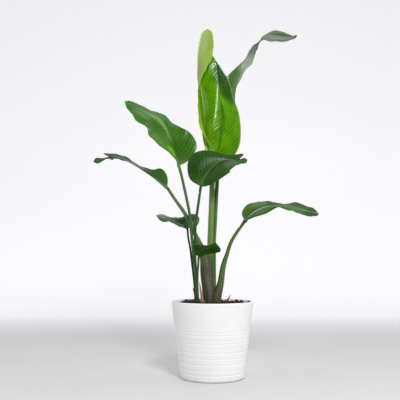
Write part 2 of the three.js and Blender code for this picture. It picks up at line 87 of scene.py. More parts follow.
# The rib, in shares of its radius, and the thinning of the blade towards its margin.
RIDGE_REACH = 1.3
BULGE_REACH = 1.25
BULGE_POWER = 0.6
RIB_DEPTH = 1.8
CHANNEL_REACH = 0.8
CHANNEL_DEPTH = 0.35
MARGIN_THINNING = 0.45
MARGIN_POWER = 8

# A stalk's round ends bulge by this share, and it runs this far into the blade, in the rib's
# spans, with this shrinking of its section.
END_BULGE = 0.55
INTO_BLADE_SPANS = 0.5
INTO_BLADE_SHRINK = (0.6, 0.6, 1)

# How fine the pieces are.
ROWS_PER_STATION = 15
RIDGE_STEPS = 4
HALF_COLUMNS = 20
COLUMN_POWER = 0.9
BLADE_END_GAP = 0.001
STALK_ROWS_PER_STATION = 9
ARC_STEPS = 14
END_STEPS = 5


# ---- Curves ----
def spline(points, t):
    """Points of a uniform Catmull-Rom curve, at shares t of its number of spans."""
    p = np.asarray(points, float)
    p = np.vstack([2 * p[0] - p[1], p, 2 * p[-1] - p[-2]])
    place = np.clip(np.asarray(t, float), 0, 1) * (len(p) - 3)
    k = np.minimum(place.astype(int), len(p) - 4)
    w = (place - k)[:, None]
    before, start, end, after = p[k], p[k + 1], p[k + 2], p[k + 3]
    slope_start, slope_end = (end - before) / 2, (after - start) / 2
    cubic = 2 * start - 2 * end + slope_start + slope_end
    square = 3 * end - 3 * start - 2 * slope_start - slope_end
    return cubic * w**3 + square * w**2 + slope_start * w + start


def unit(v):
    return v / np.maximum(np.linalg.norm(v, axis=-1, keepdims=True), NO_LENGTH)


def mix(a, b, share):
    return a + (b - a) * share


def run_along(points):
    """The distance along a row of points, from its first one."""
    steps = np.linalg.norm(np.diff(points, axis=0), axis=1)
    return np.concatenate([[0], np.cumsum(steps)])


# ---- Meshes ----
def new_piece(name, points, faces, slots, layers, materials):
    """A smooth piece. slots holds each face's material, and layers each point's uv by map name."""
    mesh = bpy.data.meshes.new(name)
    mesh.from_pydata([tuple(p) for p in points], [], [tuple(map(int, f)) for f in faces])
    for material in materials:
        mesh.materials.append(material)
    mesh.polygons.foreach_set("material_index", np.asarray(slots, np.int32))
    corners = np.zeros(len(mesh.loops), np.int32)
    mesh.loops.foreach_get("vertex_index", corners)
    for map_name, places in layers.items():
        layer = mesh.uv_layers.new(name=map_name)
        layer.data.foreach_set("uv", np.asarray(places, np.float32)[corners].ravel())
    mesh.shade_smooth()
    mesh.update()
    piece = bpy.data.objects.new(name, mesh)
    bpy.context.collection.objects.link(piece)
    return piece


def stand_for(piece, node):
    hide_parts(node)
    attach(piece, "root")


def grid_faces(grid, facing_up):
    """Quads between the rows and columns of a grid of point numbers."""
    a, b = grid[:-1, :-1].ravel(), grid[:-1, 1:].ravel()
    d, c = grid[1:, :-1].ravel(), grid[1:, 1:].ravel()
    return np.stack([a, b, c, d] if facing_up else [a, d, c, b], axis=1)


def closed_sweep(ring_count, ring_length):
    """Faces round a row of closed rings of points, with a cap on each end."""
    grid = np.arange(ring_count * ring_length).reshape(ring_count, -1)
    faces = [tuple(face) for face in grid_faces(np.hstack([grid, grid[:, :1]]), True)]
    return faces + [tuple(grid[0, ::-1]), tuple(grid[-1])]


# ---- Blades ----
# A blade hangs on three rails that run from the joint to the tip: its rib, and its left and
# right margins as seen from its upper side with the tip away.
def rails_of(plan):
    rib = np.array(plan["rib"])
    rails = {"rib": rib}
    for side in ("left", "right"):
        rails[side] = np.vstack([rib[:1], plan[side + "_margin"], rib[-1:]])
    return rails


def upper_side(rails, side, t):
    step = 1e-4
    tangent = spline(rails["rib"], t + step) - spline(rails["rib"], t - step)
    normal = np.cross(tangent, spline(rails[side], t) - spline(rails["rib"], t))
    return unit(normal if side == "left" else -normal)


def waves(place, parts):
    return sum(height * np.sin(TURN * place / length + phase) for height, length, phase in parts)


def pleats(vein, s):
    """The soft corrugation between the side veins; vein is the place across them, in metres."""
    wander = waves(vein, PLEAT_WANDER)
    coarse = np.sin(TURN * vein / PLEAT_LENGTH + wander)
    fine = np.sin(TURN * vein / FINE_PLEAT_LENGTH - FINE_PLEAT_DRIFT * wander)
    return np.clip(PLEAT_ONSET * s, 0, 1) * (coarse + FINE_PLEAT_SHARE * fine)


def ruffle(vein, s):
    """Small irregular waves that grow towards the margin."""
    return waves(vein, RUFFLES) * s**RUFFLE_POWER


def crest_lift(crest, t, s):
    """A soft roof that peaks at its own share of the half's width, and its own height, at each row."""
    at = spline(np.array(crest["at"])[:, None], t)
    height = spline(np.array(crest["height"])[:, None], t)
    inner, outer = s / at, (1 - s) / (1 - at)
    return height * 0.5 * (inner + outer - np.sqrt((inner - outer) ** 2 + crest["soft"] ** 2))


def pleat_height(plan, side, t, s):
    """The pleats' height in metres, which is greater round its deep pleats."""
    deep = plan.get("deep_pleats", {"side": None})
    if deep["side"] != side:
        return plan["pleat"]
    along = (t[:, None] - deep["at"][0]) / deep["reach"][0]
    over = (s - deep["at"][1]) / deep["reach"][1]
    return plan["pleat"] * (1 + deep["gain"] * np.exp(-(along**2) - over**2))


def blade_half(rails, plan, side, t, s):
    """Points of one half, and the place of each along its vein and off the rib, in metres."""
    start, margin = spline(rails["rib"], t), spline(rails[side], t)
    width = np.linalg.norm(margin - start, axis=1)[:, None]
    fade = np.sin(math.pi * t)[:, None]
    shape = plan[side]
    turns = (shape["waves"] * t + shape["phase"])[:, None]
    wave = shape["height"] * s**2 * np.sin(TURN * turns)
    off_rib = s * width
    vein = run_along(start)[:, None] - plan["sweep"] * off_rib * (1 + VEIN_BEND * s)
    lift = 4 * shape["arch"] * width * s * (1 - s) + wave * fade
    if shape["crest"]:
        lift = lift + crest_lift(shape["crest"], t, s)
    lift = lift + (pleat_height(plan, side, t, s) * pleats(vein, s) + ruffle(vein, s)) * np.sqrt(fade)
    normal = upper_side(rails, side, t)[:, None, :]
    points = mix(start[:, None, :], margin[:, None, :], s[:, :, None]) + normal * lift[:, :, None]
    return points, vein, off_rib


def rib_radius(plan, t):
    joint = stalk_sizes(plan)[-1][0] * RIB_SHARE
    return mix(joint, RIB_TIP_RADIUS, np.sqrt(t))


def columns_of(rails, side, t, ridge):
    """Shares of the half's width, one row for each t, with close steps over the rib's ridge."""
    width = np.linalg.norm(spline(rails[side], t) - spline(rails["rib"], t), axis=1)[:, None]
    foot = np.minimum(MAX_RIDGE_SHARE, RIDGE_REACH * ridge / width)
    over_ridge = foot * np.linspace(0, 1, RIDGE_STEPS + 1)[None, :-1]
    beyond = foot + (1 - foot) * np.linspace(0, 1, HALF_COLUMNS)[None, :] ** COLUMN_POWER
    return np.hstack([over_ridge, beyond])


def blade(plan):
    """The closed blade: its points, faces, material slots (0 above, 1 below) and uv places."""
    rails = rails_of(plan)
    rows = (len(rails["rib"]) - 1) * ROWS_PER_STATION
    t = np.linspace(BLADE_END_GAP, 1 - BLADE_END_GAP, rows + 1)
    ridge = rib_radius(plan, t)[:, None]
    halves = {}
    for side in ("left", "right"):
        s = columns_of(rails, side, t, ridge)
        halves[side] = (s, *blade_half(rails, plan, side, t, s))

    def join(i, sign):
        return np.concatenate([sign * halves["left"][i][:, ::-1], halves["right"][i][:, 1:]], axis=1)

    across, middle, vein, off_rib = join(0, -1), join(1, 1), join(2, 1), join(3, -1)
    normal = unit(np.cross(np.gradient(middle, axis=1), np.gradient(middle, axis=0)))
    from_rib = np.abs(off_rib) / ridge
    bulge = np.clip(1 - (from_rib / BULGE_REACH) ** 2, 0, 1) ** BULGE_POWER
    channel = np.clip(1 - (from_rib / CHANNEL_REACH) ** 2, 0, 1)
    skin = BLADE_THICKNESS / 2 * (1 - MARGIN_THINNING * np.abs(across) ** MARGIN_POWER)
    above = middle + normal * (skin - CHANNEL_DEPTH * channel * ridge)[:, :, None]
    below = middle - normal * (skin + bulge * (RIB_DEPTH * ridge - skin))[:, :, None]
    grid = np.arange(across.size).reshape(across.shape)
    rim = np.concatenate([grid[0, :-1], grid[:-1, -1], grid[-1, :0:-1], grid[:0:-1, 0]])
    edge = np.stack([rim, rim + grid.size, np.roll(rim, -1) + grid.size, np.roll(rim, -1)], axis=1)
    parts = [grid_faces(grid, True), grid_faces(grid + grid.size, False), edge]
    slots = np.repeat([0, 1, 0], [len(part) for part in parts])
    grain = np.stack([vein, off_rib], axis=2).reshape(-1, 2)
    place = np.stack([np.broadcast_to(t[:, None], across.shape), across], axis=2).reshape(-1, 2)
    points = np.concatenate([above.reshape(-1, 3), below.reshape(-1, 3)])
    layers = {"Grain": np.vstack([grain, grain]), "Place": np.vstack([place, place])}
    return points, np.concatenate(parts), slots, layers


# ---- Channelled stalks ----
# A section is a crescent with round ends. A wide thin one is a sheath, and one with a small
# inner arc is a stalk with a channel along its upper side.
def stalk_sizes(plan):
    """The outer radius, inner radius and span in degrees at each point of the stalk."""
    if "sizes" in plan:
        return np.array(plan["sizes"], float)
    count = len(plan["stalk"])
    outer = np.linspace(plan["foot_radius"], plan["joint_radius"], count)
    return np.stack([outer, outer * CHANNEL_SHARE, np.full(count, STALK_SPAN)], axis=1)


def crescent(size):
    """Radii and angles round a crescent, from one end of its back to the other and inside."""
    outer, inner, span = size
    half_span = math.radians(span) / 2
    centre, half_wall = (outer + inner) / 2, (outer - inner) / 2
    turn = np.linspace(0, math.pi, END_STEPS + 2)[1:-1]
    end_radius = centre + half_wall * np.cos(turn)
    end_angle = half_span + END_BULGE * half_wall / centre * np.sin(turn)
    back = np.linspace(-half_span, half_span, ARC_STEPS + 1)
    radius = [np.full_like(back, outer), end_radius, np.full_like(back, inner), end_radius[::-1]]
    angle = [back, end_angle, back[::-1], -end_angle[::-1]]
    return np.concatenate(radius), np.concatenate(angle)


def crescent_sweep(centres, backs, sizes):
    """A closed sweep of crescents along a row of centres, each with its own size and back."""
    tangents = unit(np.gradient(centres, axis=0))
    away = unit(backs - tangents * np.sum(backs * tangents, axis=1)[:, None])
    across = np.cross(tangents, away)
    run = run_along(centres)
    rings, grain, place = [], [], []
    for i, size in enumerate(sizes):
        radius, angle = crescent(size)
        reach = np.outer(np.cos(angle), away[i]) + np.outer(np.sin(angle), across[i])
        rings.append(centres[i] + reach * radius[:, None])
        grain.append(np.stack([np.full_like(angle, run[i]), angle * size[0]], axis=1))
        share = angle / (math.radians(size[2]) / 2)
        place.append(np.stack([np.full_like(angle, run[i] / run[-1]), share], axis=1))
    layers = {"Grain": np.concatenate(grain), "Place": np.concatenate(place)}
    return np.concatenate(rings), closed_sweep(len(rings), len(rings[0])), layers


def stalk(plan):
    """The stalk, which runs on into the blade's rib as its channel."""
    rails = rails_of(plan)
    joint_share = np.array([INTO_BLADE_SPANS / (len(rails["rib"]) - 1)])
    into_blade = np.vstack([rails["rib"][:1], spline(rails["rib"], joint_share)])
    sizes = stalk_sizes(plan)
    sizes = np.vstack([sizes, sizes[-1], sizes[-1] * INTO_BLADE_SHRINK])
    up = upper_side(rails, "left", joint_share) + upper_side(rails, "right", joint_share)
    backs = plan.get("backs") or [plan["back"]] * len(plan["stalk"])
    backs = np.vstack([backs, -unit(up), -unit(up)])
    rows = (len(sizes) - 1) * STALK_ROWS_PER_STATION
    t = np.linspace(0, 1, rows + 1)
    centres = spline(np.vstack([plan["stalk"], into_blade]), t)
    return crescent_sweep(centres, spline(backs, t), spline(sizes, t))


def make_frond(plan, materials):
    """One frond: upper side, underside and stalk take the three materials in turn."""
    points, faces, slots, layers = blade(plan)
    stalk_points, stalk_faces, stalk_layers = stalk(plan)
    all_faces = list(faces) + [tuple(i + len(points) for i in face) for face in stalk_faces]
    all_slots = np.concatenate([slots, np.full(len(stalk_faces), 2)])
    joined = {key: np.vstack([layers[key], stalk_layers[key]]) for key in layers}
    piece = new_piece(
        plan["name"] + "_leaf", np.vstack([points, stalk_points]), all_faces, all_slots, joined, materials)
    stand_for(piece, plan["name"])
    return piece


# ---- Frond data ----
def mm(points):
    """Points given in millimetres, in metres."""
    return np.array(points) / 1000


def rising_from(x, y, points):
    """A stalk that rises straight from its foot in the soil and then follows its own points."""
    foot = [(x / 1000, y / 1000, STEM_FOOT), (x / 1000, y / 1000, SOIL_LEVEL + STRAIGHT_RISE)]
    return np.vstack([foot, mm(points)])


def half(arch, height, waves, phase, crest=None):
    """How one half of a blade is curved: the height of its arch as a share of its width, and the
    height, number and phase of the waves along its margin."""
    return {"arch": arch, "height": height, "waves": waves, "phase": phase, "crest": crest}


def frond(name, slot, rib, left_margin, right_margin, **own):
    """A frond, with its rib and margins in millimetres."""
    return {"name": name, "slot": slot, "rib": mm(rib), "left_margin": mm(left_margin),
            "right_margin": mm(right_margin), "sweep": PLAIN_SWEEP, "pleat": PLAIN_PLEAT, **own}


# The fold along the unfurling blade's right half, with a value for each station of its rib.
TALL_CREST = {
    "soft": 0.24,
    "at": [0.30, 0.14, 0.11, 0.17, 0.29, 0.45, 0.66, 0.88, 0.95, 0.95, 0.95, 0.95],
    "height": [0, 0.009, 0.018, 0.023, 0.022, 0.020, 0.017, 0.014, 0.010, 0, 0, 0],
}
# The closed side of the tall unfurling stalk, from its foot to its joint.
TALL_BACKS = [(-0.8, -0.6, 0)] * 5 + [(-0.92, -0.4, 0), (-1, -0.1, 0), (-0.8, 0.6, 0)]

FRONDS = [
    frond("frond_tall_unfurling", "leaf_bright", backs=TALL_BACKS, foot_radius=0.0104, joint_radius=0.0102,
        sweep=0.75, pleat=0.00035,
        deep_pleats={"side": "right", "at": (0.28, 0.20), "reach": (0.11, 0.17), "gain": 4.0},
        left=half(-0.02, 0.002, 3, 0.1), right=half(0.02, 0.002, 4, 0.3, TALL_CREST),
        stalk=rising_from(-9, 2, [(-5, 2, 314), (-6, 2, 386), (-6, 3, 435), (-3, 5, 512), (1, 9, 612),
            (-1, 12, 656)]),
        rib=[(-9, 14, 694), (-18, 16, 742), (-25, 18, 790), (-27, 20, 839), (-28, 21, 887), (-34, 22, 936),
            (-44, 24, 992), (-46, 26, 1042), (-46, 28, 1091), (-40, 29, 1129), (-31, 30, 1161),
            (-14, 30, 1174)],
        left_margin=[(10, 4, 723), (1, -8, 758), (-23, -26, 789), (-44, -48, 821), (-47, -64, 877),
            (-43, -60, 942), (-26, -42, 1001), (-2, -22, 1056), (6, -4, 1105), (2, 12, 1153)],
        right_margin=[(44, 26, 696), (89, 30, 754), (99, 32, 817), (92, 33, 883), (74, 35, 932),
            (57, 38, 994), (30, 39, 1043), (4, 36, 1078), (-6, 32, 1121), (-9, 30, 1152)]),
    frond("frond_tall_twisted", "leaf_mid", back=(0.8, 0.6, 0), foot_radius=0.007, joint_radius=0.0068,
        left=half(-0.08, 0.003, 5, 0.2), right=half(-0.08, 0.003, 4, 0.7),
        stalk=rising_from(5, 17, [(6, 17, 313), (6, 19, 386), (6, 21, 436), (11, 27, 523), (16, 34, 615),
            (22, 42, 701), (32, 49, 772)]),
        rib=[(44, 56, 843), (58, 62, 900), (70, 68, 951), (83, 73, 997), (101, 78, 1036), (123, 82, 1069),
            (143, 86, 1104), (158, 89, 1129), (172, 92, 1151), (194, 96, 1168), (223, 99, 1172),
            (261, 102, 1170), (286, 104, 1169), (307, 106, 1179)],
        left_margin=[(19, 74, 896), (30, 84, 959), (55, 88, 1020), (86, 86, 1055), (113, 74, 1077),
            (131, 66, 1106), (150, 72, 1130), (170, 84, 1152), (187, 108, 1181), (219, 122, 1199),
            (259, 124, 1197), (289, 114, 1181)],
        right_margin=[(81, 46, 886), (81, 40, 938), (87, 38, 977), (113, 38, 1027), (143, 48, 1057),
            (151, 60, 1092), (162, 78, 1126), (175, 88, 1147), (189, 78, 1150), (216, 74, 1146),
            (258, 80, 1145), (297, 98, 1163)]),
    frond("frond_upper_left", "leaf_mid", back=(-0.9, 0.4, 0), foot_radius=0.0048, joint_radius=0.0049,
        pleat=0.0002,
        left=half(-0.08, 0.002, 5, 0.2), right=half(0.03, 0.002, 4, 0.6),
        stalk=rising_from(-49, -38, [(-51, -40, 315), (-61, -46, 396), (-69, -50, 476), (-73, -48, 522),
            (-80, -44, 561), (-90, -37, 608), (-100, -28, 652)]),
        rib=[(-110, -20, 689), (-117, -15, 720), (-124, -9, 748), (-137, -2, 780), (-153, 8, 814),
            (-166, 14, 834), (-183, 21, 856), (-218, 34, 878), (-261, 46, 902), (-301, 58, 927)],
        left_margin=[(-121, -34, 709), (-145, -50, 730), (-175, -40, 757), (-210, -14, 790), (-219, 2, 822),
            (-252, 14, 844), (-272, 28, 873), (-293, 46, 901)],
        right_margin=[(-78, -24, 708), (-51, -22, 752), (-69, -10, 798), (-110, 8, 827), (-134, 24, 844),
            (-162, 44, 873), (-216, 58, 899), (-276, 64, 927)]),
    frond("frond_lower_left", "leaf_mid", back=(-0.75, -0.66, 0),
        left=half(-0.06, 0.0015, 4, 0.4), right=half(0.06, 0.0015, 4, 0.1),
        sizes=[(0.0216, 0.0176, 250), (0.0216, 0.0176, 250), (0.0202, 0.0166, 240), (0.0155, 0.0115, 225),
            (0.0110, 0.0050, 220), (0.0076, 0.0019, 230), (0.0068, 0.0017, 240), (0.0062, 0.0015, 250),
            (0.0052, 0.0013, 250)],
        stalk=rising_from(-8, 4, [(-19, -6, 330), (-26, -8, 386), (-40, -12, 428), (-55, -17, 461),
            (-73, -21, 500), (-95, -25, 539), (-121, -30, 575)]),
        rib=[(-147, -34, 615), (-167, -36, 632), (-191, -40, 651), (-215, -44, 667), (-241, -48, 683),
            (-269, -52, 699), (-298, -56, 708), (-318, -58, 712), (-327, -60, 711), (-337, -62, 709),
            (-353, -63, 706), (-371, -64, 701), (-387, -64, 697)],
        left_margin=[(-146, -60, 649), (-164, -74, 672), (-191, -84, 669), (-223, -92, 677),
            (-259, -97, 696), (-294, -96, 714), (-329, -88, 721), (-352, -76, 721), (-329, -68, 714),
            (-352, -74, 708), (-375, -78, 707)],
        right_margin=[(-157, -14, 640), (-181, 2, 662), (-211, 8, 671), (-239, 4, 684), (-266, -2, 700),
            (-299, -12, 709), (-320, -28, 711), (-329, -44, 708), (-339, -52, 708), (-355, -52, 702),
            (-375, -52, 693)]),
    frond("frond_front_dark", "leaf_dark", back=(0.3, -0.95, 0), foot_radius=0.0050, joint_radius=0.0044,
        pleat=0.0001,
        left=half(0.12, 0.002, 4, 0.8), right=half(0.08, 0.002, 5, 0.3),
        stalk=rising_from(-51, -20, [(-53, -24, 315), (-57, -28, 396), (-57, -32, 444), (-55, -38, 493),
            (-50, -44, 532), (-44, -52, 573)]),
        rib=[(-38, -60, 616), (-32, -61, 633), (-21, -61, 652), (-5, -60, 674), (16, -59, 693),
            (41, -58, 703), (64, -58, 701), (77, -58, 700), (88, -58, 699), (103, -59, 701),
            (114, -60, 704)],
        left_margin=[(-74, -54, 643), (-81, -46, 693), (-65, -40, 725), (-24, -36, 739), (18, -36, 733),
            (58, -42, 721), (101, -48, 725), (88, -55, 707), (105, -57, 710)],
        right_margin=[(-21, -70, 616), (4, -86, 625), (25, -100, 638), (52, -106, 653), (56, -98, 666),
            (72, -86, 678), (82, -74, 687), (95, -68, 689), (110, -62, 694)]),
    frond("frond_small_left", "leaf_bluish", back=(-0.8, 0.6, 0), foot_radius=0.0040, joint_radius=0.0034,
        left=half(0.1, 0.0015, 4, 0.5), right=half(0.1, 0.0015, 3, 0.2),
        stalk=rising_from(-55, -2, [(-57, -2, 281), (-61, -2, 324), (-67, -2, 373), (-73, 0, 419),
            (-80, 3, 458)]),
        rib=[(-82, 8, 484), (-89, 14, 492), (-99, 22, 500), (-113, 32, 506), (-130, 44, 513),
            (-148, 54, 519), (-169, 66, 526), (-192, 80, 532)],
        left_margin=[(-86, -2, 481), (-103, 0, 488), (-122, 12, 495), (-139, 26, 508), (-155, 36, 505),
            (-177, 54, 514)],
        right_margin=[(-54, 16, 490), (-42, 26, 516), (-62, 40, 535), (-98, 56, 524), (-135, 68, 523),
            (-168, 76, 536)]),
    frond("frond_right", "leaf_mid", back=(0.87, -0.5, 0),
        left=half(0.06, 0.002, 4, 0.2), right=half(0.1, 0.002, 4, 0.6),
        sizes=[(0.0240, 0.0200, 150), (0.0240, 0.0200, 150), (0.0138, 0.0092, 200), (0.0100, 0.0036, 215),
            (0.0074, 0.0020, 230), (0.0063, 0.0016, 240), (0.0056, 0.0014, 250)],
        stalk=rising_from(6, -1, [(24, -4, 301), (35, -8, 360), (48, -12, 399), (60, -16, 435),
            (79, -20, 468)]),
        rib=[(106, -24, 506), (117, -25, 518), (133, -27, 531), (156, -29, 545), (181, -31, 554),
            (211, -33, 557), (244, -35, 554), (276, -38, 547), (305, -41, 539), (329, -43, 534),
            (346, -44, 530)],
        left_margin=[(98, 0, 535), (113, 10, 561), (144, 14, 570), (170, 12, 577), (203, 10, 571),
            (238, 6, 565), (269, 0, 571), (301, -10, 561), (331, -26, 549)],
        right_margin=[(120, -46, 511), (145, -58, 519), (174, -64, 530), (202, -70, 544), (229, -72, 544),
            (254, -70, 536), (280, -64, 527), (311, -58, 521), (337, -50, 521)]),
    frond("frond_small_front", "leaf_dark", back=(0.3, -0.95, 0), foot_radius=0.0036, joint_radius=0.0034,
        left=half(0.1, 0.001, 3, 0.5), right=half(0.1, 0.001, 3, 0.2),
        stalk=rising_from(-46, -58, [(-48, -58, 291), (-48, -61, 332), (-46, -66, 367)]),
        rib=[(-45, -74, 389), (-43, -84, 402), (-34, -100, 411), (-22, -118, 415), (-8, -134, 418),
            (8, -146, 434)],
        left_margin=[(-34, -82, 391), (-12, -98, 399), (12, -114, 401), (24, -128, 412)],
        right_margin=[(-58, -78, 402), (-61, -92, 426), (-37, -114, 427), (-17, -132, 425)]),
]

# ---- Node helpers ----
def paint(code):
    """A colour written as red, green and blue in hexadecimal, in linear light."""
    channels = [int(code[i:i + 2], 16) / 255 for i in (0, 2, 4)]
    return (*[c / 12.92 if c < 0.04045 else ((c + 0.055) / 1.055) ** 2.4 for c in channels], 1)


def wire(tree, socket, value):
    if isinstance(value, bpy.types.NodeSocket):
        tree.links.new(value, socket)
    else:
        socket.default_value = value


def add_node(tree, kind, wires, **settings):
    made = tree.nodes.new("ShaderNode" + kind)
    for key, value in settings.items():
        setattr(made, key, value)
    for key, value in wires.items():
        wire(tree, made.inputs[key], value)
    return made


def calc(tree, operation, *values):
    return add_node(tree, "Math", dict(enumerate(values)), operation=operation).outputs[0]


def times(tree, first, second):
    return calc(tree, "MULTIPLY", first, second)


def rise(tree, value, start, end, low=0.0, high=1.0):
    """Goes smoothly from low to high as the value goes from start to end."""
    wires = {0: value, 1: start, 2: end, 3: low, 4: high}
    return add_node(tree, "MapRange", wires, interpolation_type="SMOOTHSTEP").outputs[0]


def gap(tree, first, second):
    return calc(tree, "ABSOLUTE", calc(tree, "SUBTRACT", first, second))


def tint(tree, share, first, second):
    return add_node(tree, "Mix", {0: share, 6: first, 7: second}, data_type="RGBA").outputs[2]


def coat(tree, colour, mask, strength, code):
    """The colour with another one laid over it, as thick as the mask and the strength say."""
    return tint(tree, times(tree, mask, strength), colour, paint(code))


def relief(tree, parts):
    """A height made up of masks, each with its own share."""
    height = 0.0
    for mask, share in parts:
        height = calc(tree, "MULTIPLY_ADD", mask, share, height)
    return height


def at_place(tree, *values):
    return add_node(tree, "CombineXYZ", dict(enumerate(values))).outputs[0]


def speckle(tree, vector, scale, detail=2.0, roughness=0.5):
    wires = {"Vector": vector, "Scale": scale, "Detail": detail, "Roughness": roughness}
    return add_node(tree, "TexNoise", wires).outputs[0]


def new_group(name, inputs, outputs):
    """An empty node group. Inputs are name: default, where None is a place, and outputs are names."""
    tree = bpy.data.node_groups.new(name, "ShaderNodeTree")
    for label, value in inputs.items():
        kind = "NodeSocketVector" if value is None else "NodeSocketFloat"
        socket = tree.interface.new_socket(label, in_out="INPUT", socket_type=kind)
        if value is not None:
            socket.default_value = value
    for label in outputs:
        tree.interface.new_socket(label, in_out="OUTPUT", socket_type="NodeSocketFloat")
    return tree, tree.nodes.new("NodeGroupInput").outputs, tree.nodes.new("NodeGroupOutput").inputs


def use_group(tree, group, wires):
    made = tree.nodes.new("ShaderNodeGroup")
    made.node_tree = group
    for key, value in wires.items():
        wire(tree, made.inputs[key], value)
    return made.outputs


# ---- Effects that several materials share ----
# The side veins drift in slow clouds: how many to a metre along the blade and off its rib, and
# how far they bend the veins, in radians. The bands turn about once to five turns of the lines.
DRIFT_ALONG, DRIFT_OFF_RIB = 45.0, 14.0
DRIFT_REACH = 3.0
NOISE_MIDDLE = 0.5
BAND_TURN = 1.21
LINE_EDGE = (-0.2, 0.95)
BAND_EDGE = (-0.9, 1.0)

# Where each part of a blade ends and is at its full strength, in rib radii or shares.
RIB_TAPER = 0.72
RIB_EDGE = (1.25, 0.7)
HALO_EDGE = (5.0, 0.5)
MARGIN_EDGE = (0.965, 0.995)
JOINT_EDGE = (0.16, 0.0)

# Streaks and finer threads: their number to a metre of length, and the scale of their noise.
FIBRES_AROUND = 700.0
STREAKS_ALONG, STREAK_SCALE = 9.0, 0.35
THREADS_ALONG, THREAD_SCALE = 22.0, 1.6
FLECK_FINENESS = 14.0
SPECKLE_RANGE = (0.3, 0.7)
FLECK_RANGE = (0.35, 0.7)


def make_veins():
    """Side veins: fine close lines, and wider soft bands at several times their spacing."""
    tree, given, put = new_group(
        "Side veins", {"Along": 0.0, "Off Rib": 0.0, "Spacing": 0.0026}, ["Lines", "Bands"])
    place = at_place(tree, times(tree, given["Along"], DRIFT_ALONG),
                     times(tree, given["Off Rib"], DRIFT_OFF_RIB))
    drift = calc(tree, "SUBTRACT", speckle(tree, place, 1.0, detail=3.0), NOISE_MIDDLE)
    drift = times(tree, drift, DRIFT_REACH)
    turns = calc(tree, "DIVIDE", given["Along"], given["Spacing"])
    fine = calc(tree, "SINE", calc(tree, "MULTIPLY_ADD", turns, TURN, drift))
    wide = calc(tree, "SINE", calc(tree, "MULTIPLY_ADD", turns, BAND_TURN, drift))
    wire(tree, put["Lines"], rise(tree, fine, *LINE_EDGE))
    wire(tree, put["Bands"], rise(tree, wide, *BAND_EDGE))
    return tree


def make_zones():
    """Masks for the parts of a blade: its rib, the rib's surroundings, the margin and the joint."""
    tree, given, put = new_group(
        "Blade zones", {"Share": 0.0, "Across": 0.0, "Off Rib": 0.0, "Rib Radius": 0.003},
        ["Rib", "Halo", "Margin", "Joint End"])
    taper = calc(tree, "SQRT", calc(tree, "MAXIMUM", given["Share"], 0.0))
    shrink = calc(tree, "SUBTRACT", 1.0, times(tree, taper, RIB_TAPER))
    radius = times(tree, given["Rib Radius"], shrink)
    reach = calc(tree, "DIVIDE", calc(tree, "ABSOLUTE", given["Off Rib"]), radius)
    wire(tree, put["Rib"], rise(tree, reach, *RIB_EDGE))
    wire(tree, put["Halo"], rise(tree, reach, *HALO_EDGE))
    wire(tree, put["Margin"], rise(tree, calc(tree, "ABSOLUTE", given["Across"]), *MARGIN_EDGE))
    wire(tree, put["Joint End"], rise(tree, given["Share"], *JOINT_EDGE))
    return tree


def make_spot():
    """A soft oval spot in the share along and the share across a blade."""
    tree, given, put = new_group(
        "Soft spot", {"Share": 0.0, "Across": 0.0, "At Share": 0.5, "At Across": 0.0,
                      "Reach Share": 0.1, "Reach Across": 0.3}, ["Spot"])
    squares = []
    for way in ("Share", "Across"):
        off = gap(tree, given[way], given["At " + way])
        off = calc(tree, "DIVIDE", off, given["Reach " + way])
        squares.append(times(tree, off, off))
    wire(tree, put["Spot"], rise(tree, calc(tree, "ADD", *squares), 1.0, 0.0))
    return tree


def make_mottle():
    """Cloudy patches and fine flecks over any surface."""
    tree, given, put = new_group("Mottle", {"Vector": None, "Scale": 20.0}, ["Patches", "Flecks"])
    cloudy = speckle(tree, given["Vector"], given["Scale"], detail=3.0, roughness=0.55)
    fine = times(tree, given["Scale"], FLECK_FINENESS)
    flecks = speckle(tree, given["Vector"], fine, roughness=0.6)
    wire(tree, put["Patches"], rise(tree, cloudy, *SPECKLE_RANGE))
    wire(tree, put["Flecks"], rise(tree, flecks, *FLECK_RANGE))
    return tree


def make_fibres():
    """Long streaks along a stalk or a scale."""
    tree, given, put = new_group("Fibres", {"Along": 0.0, "Around": 0.0}, ["Streaks", "Threads"])
    around = times(tree, given["Around"], FIBRES_AROUND)
    streaks = at_place(tree, times(tree, given["Along"], STREAKS_ALONG), around)
    threads = at_place(tree, times(tree, given["Along"], THREADS_ALONG), around)
    streaks = speckle(tree, streaks, STREAK_SCALE, detail=3.0, roughness=0.6)
    wire(tree, put["Streaks"], rise(tree, streaks, *SPECKLE_RANGE))
    wire(tree, put["Threads"], rise(tree, speckle(tree, threads, THREAD_SCALE), *SPECKLE_RANGE))
    return tree


VEINS, ZONES, SPOT = make_veins(), make_zones(), make_spot()
MOTTLE, FIBRES = make_mottle(), make_fibres()


# ---- Materials ----
# How many clouds there are to a metre, and how much each effect shows.
BLADE_MOTTLE, STALK_MOTTLE, POT_MOTTLE, STAGE_MOTTLE = 22.0, 30.0, 16.0, 3.0
RIB_ONSET = 0.2
HALO_TINT = 0.3
JOINT_TINT = 0.3
MARGIN_TINT = 0.7
BLADE_FLECKS = 0.08
SPOT_BETWEEN_LINES = 0.5
# The heights of a blade's lines, bands and flecks.
BLADE_RELIEF = (0.25, 0.6, 0.04)
UNDERSIDE_RELIEF = 1.6
ROUGH_SPREAD = (-0.04, 0.06)

THREAD_TINT = 0.25
STALK_FLECKS = 0.12
STALK_ROUGH = (0.38, 0.52)
STALK_SPECULAR = 0.3
STALK_BUMP = 0.00015
THREAD_RELIEF = 0.5
FOOT_FADE = (0.05, -0.03)
FOOT_RAGGED = 0.03
BAND_CORE = 0.25
BAND_FADE = 0.03
BAND_BETWEEN_STREAKS = 0.55
COLLAR_CORE = 0.004

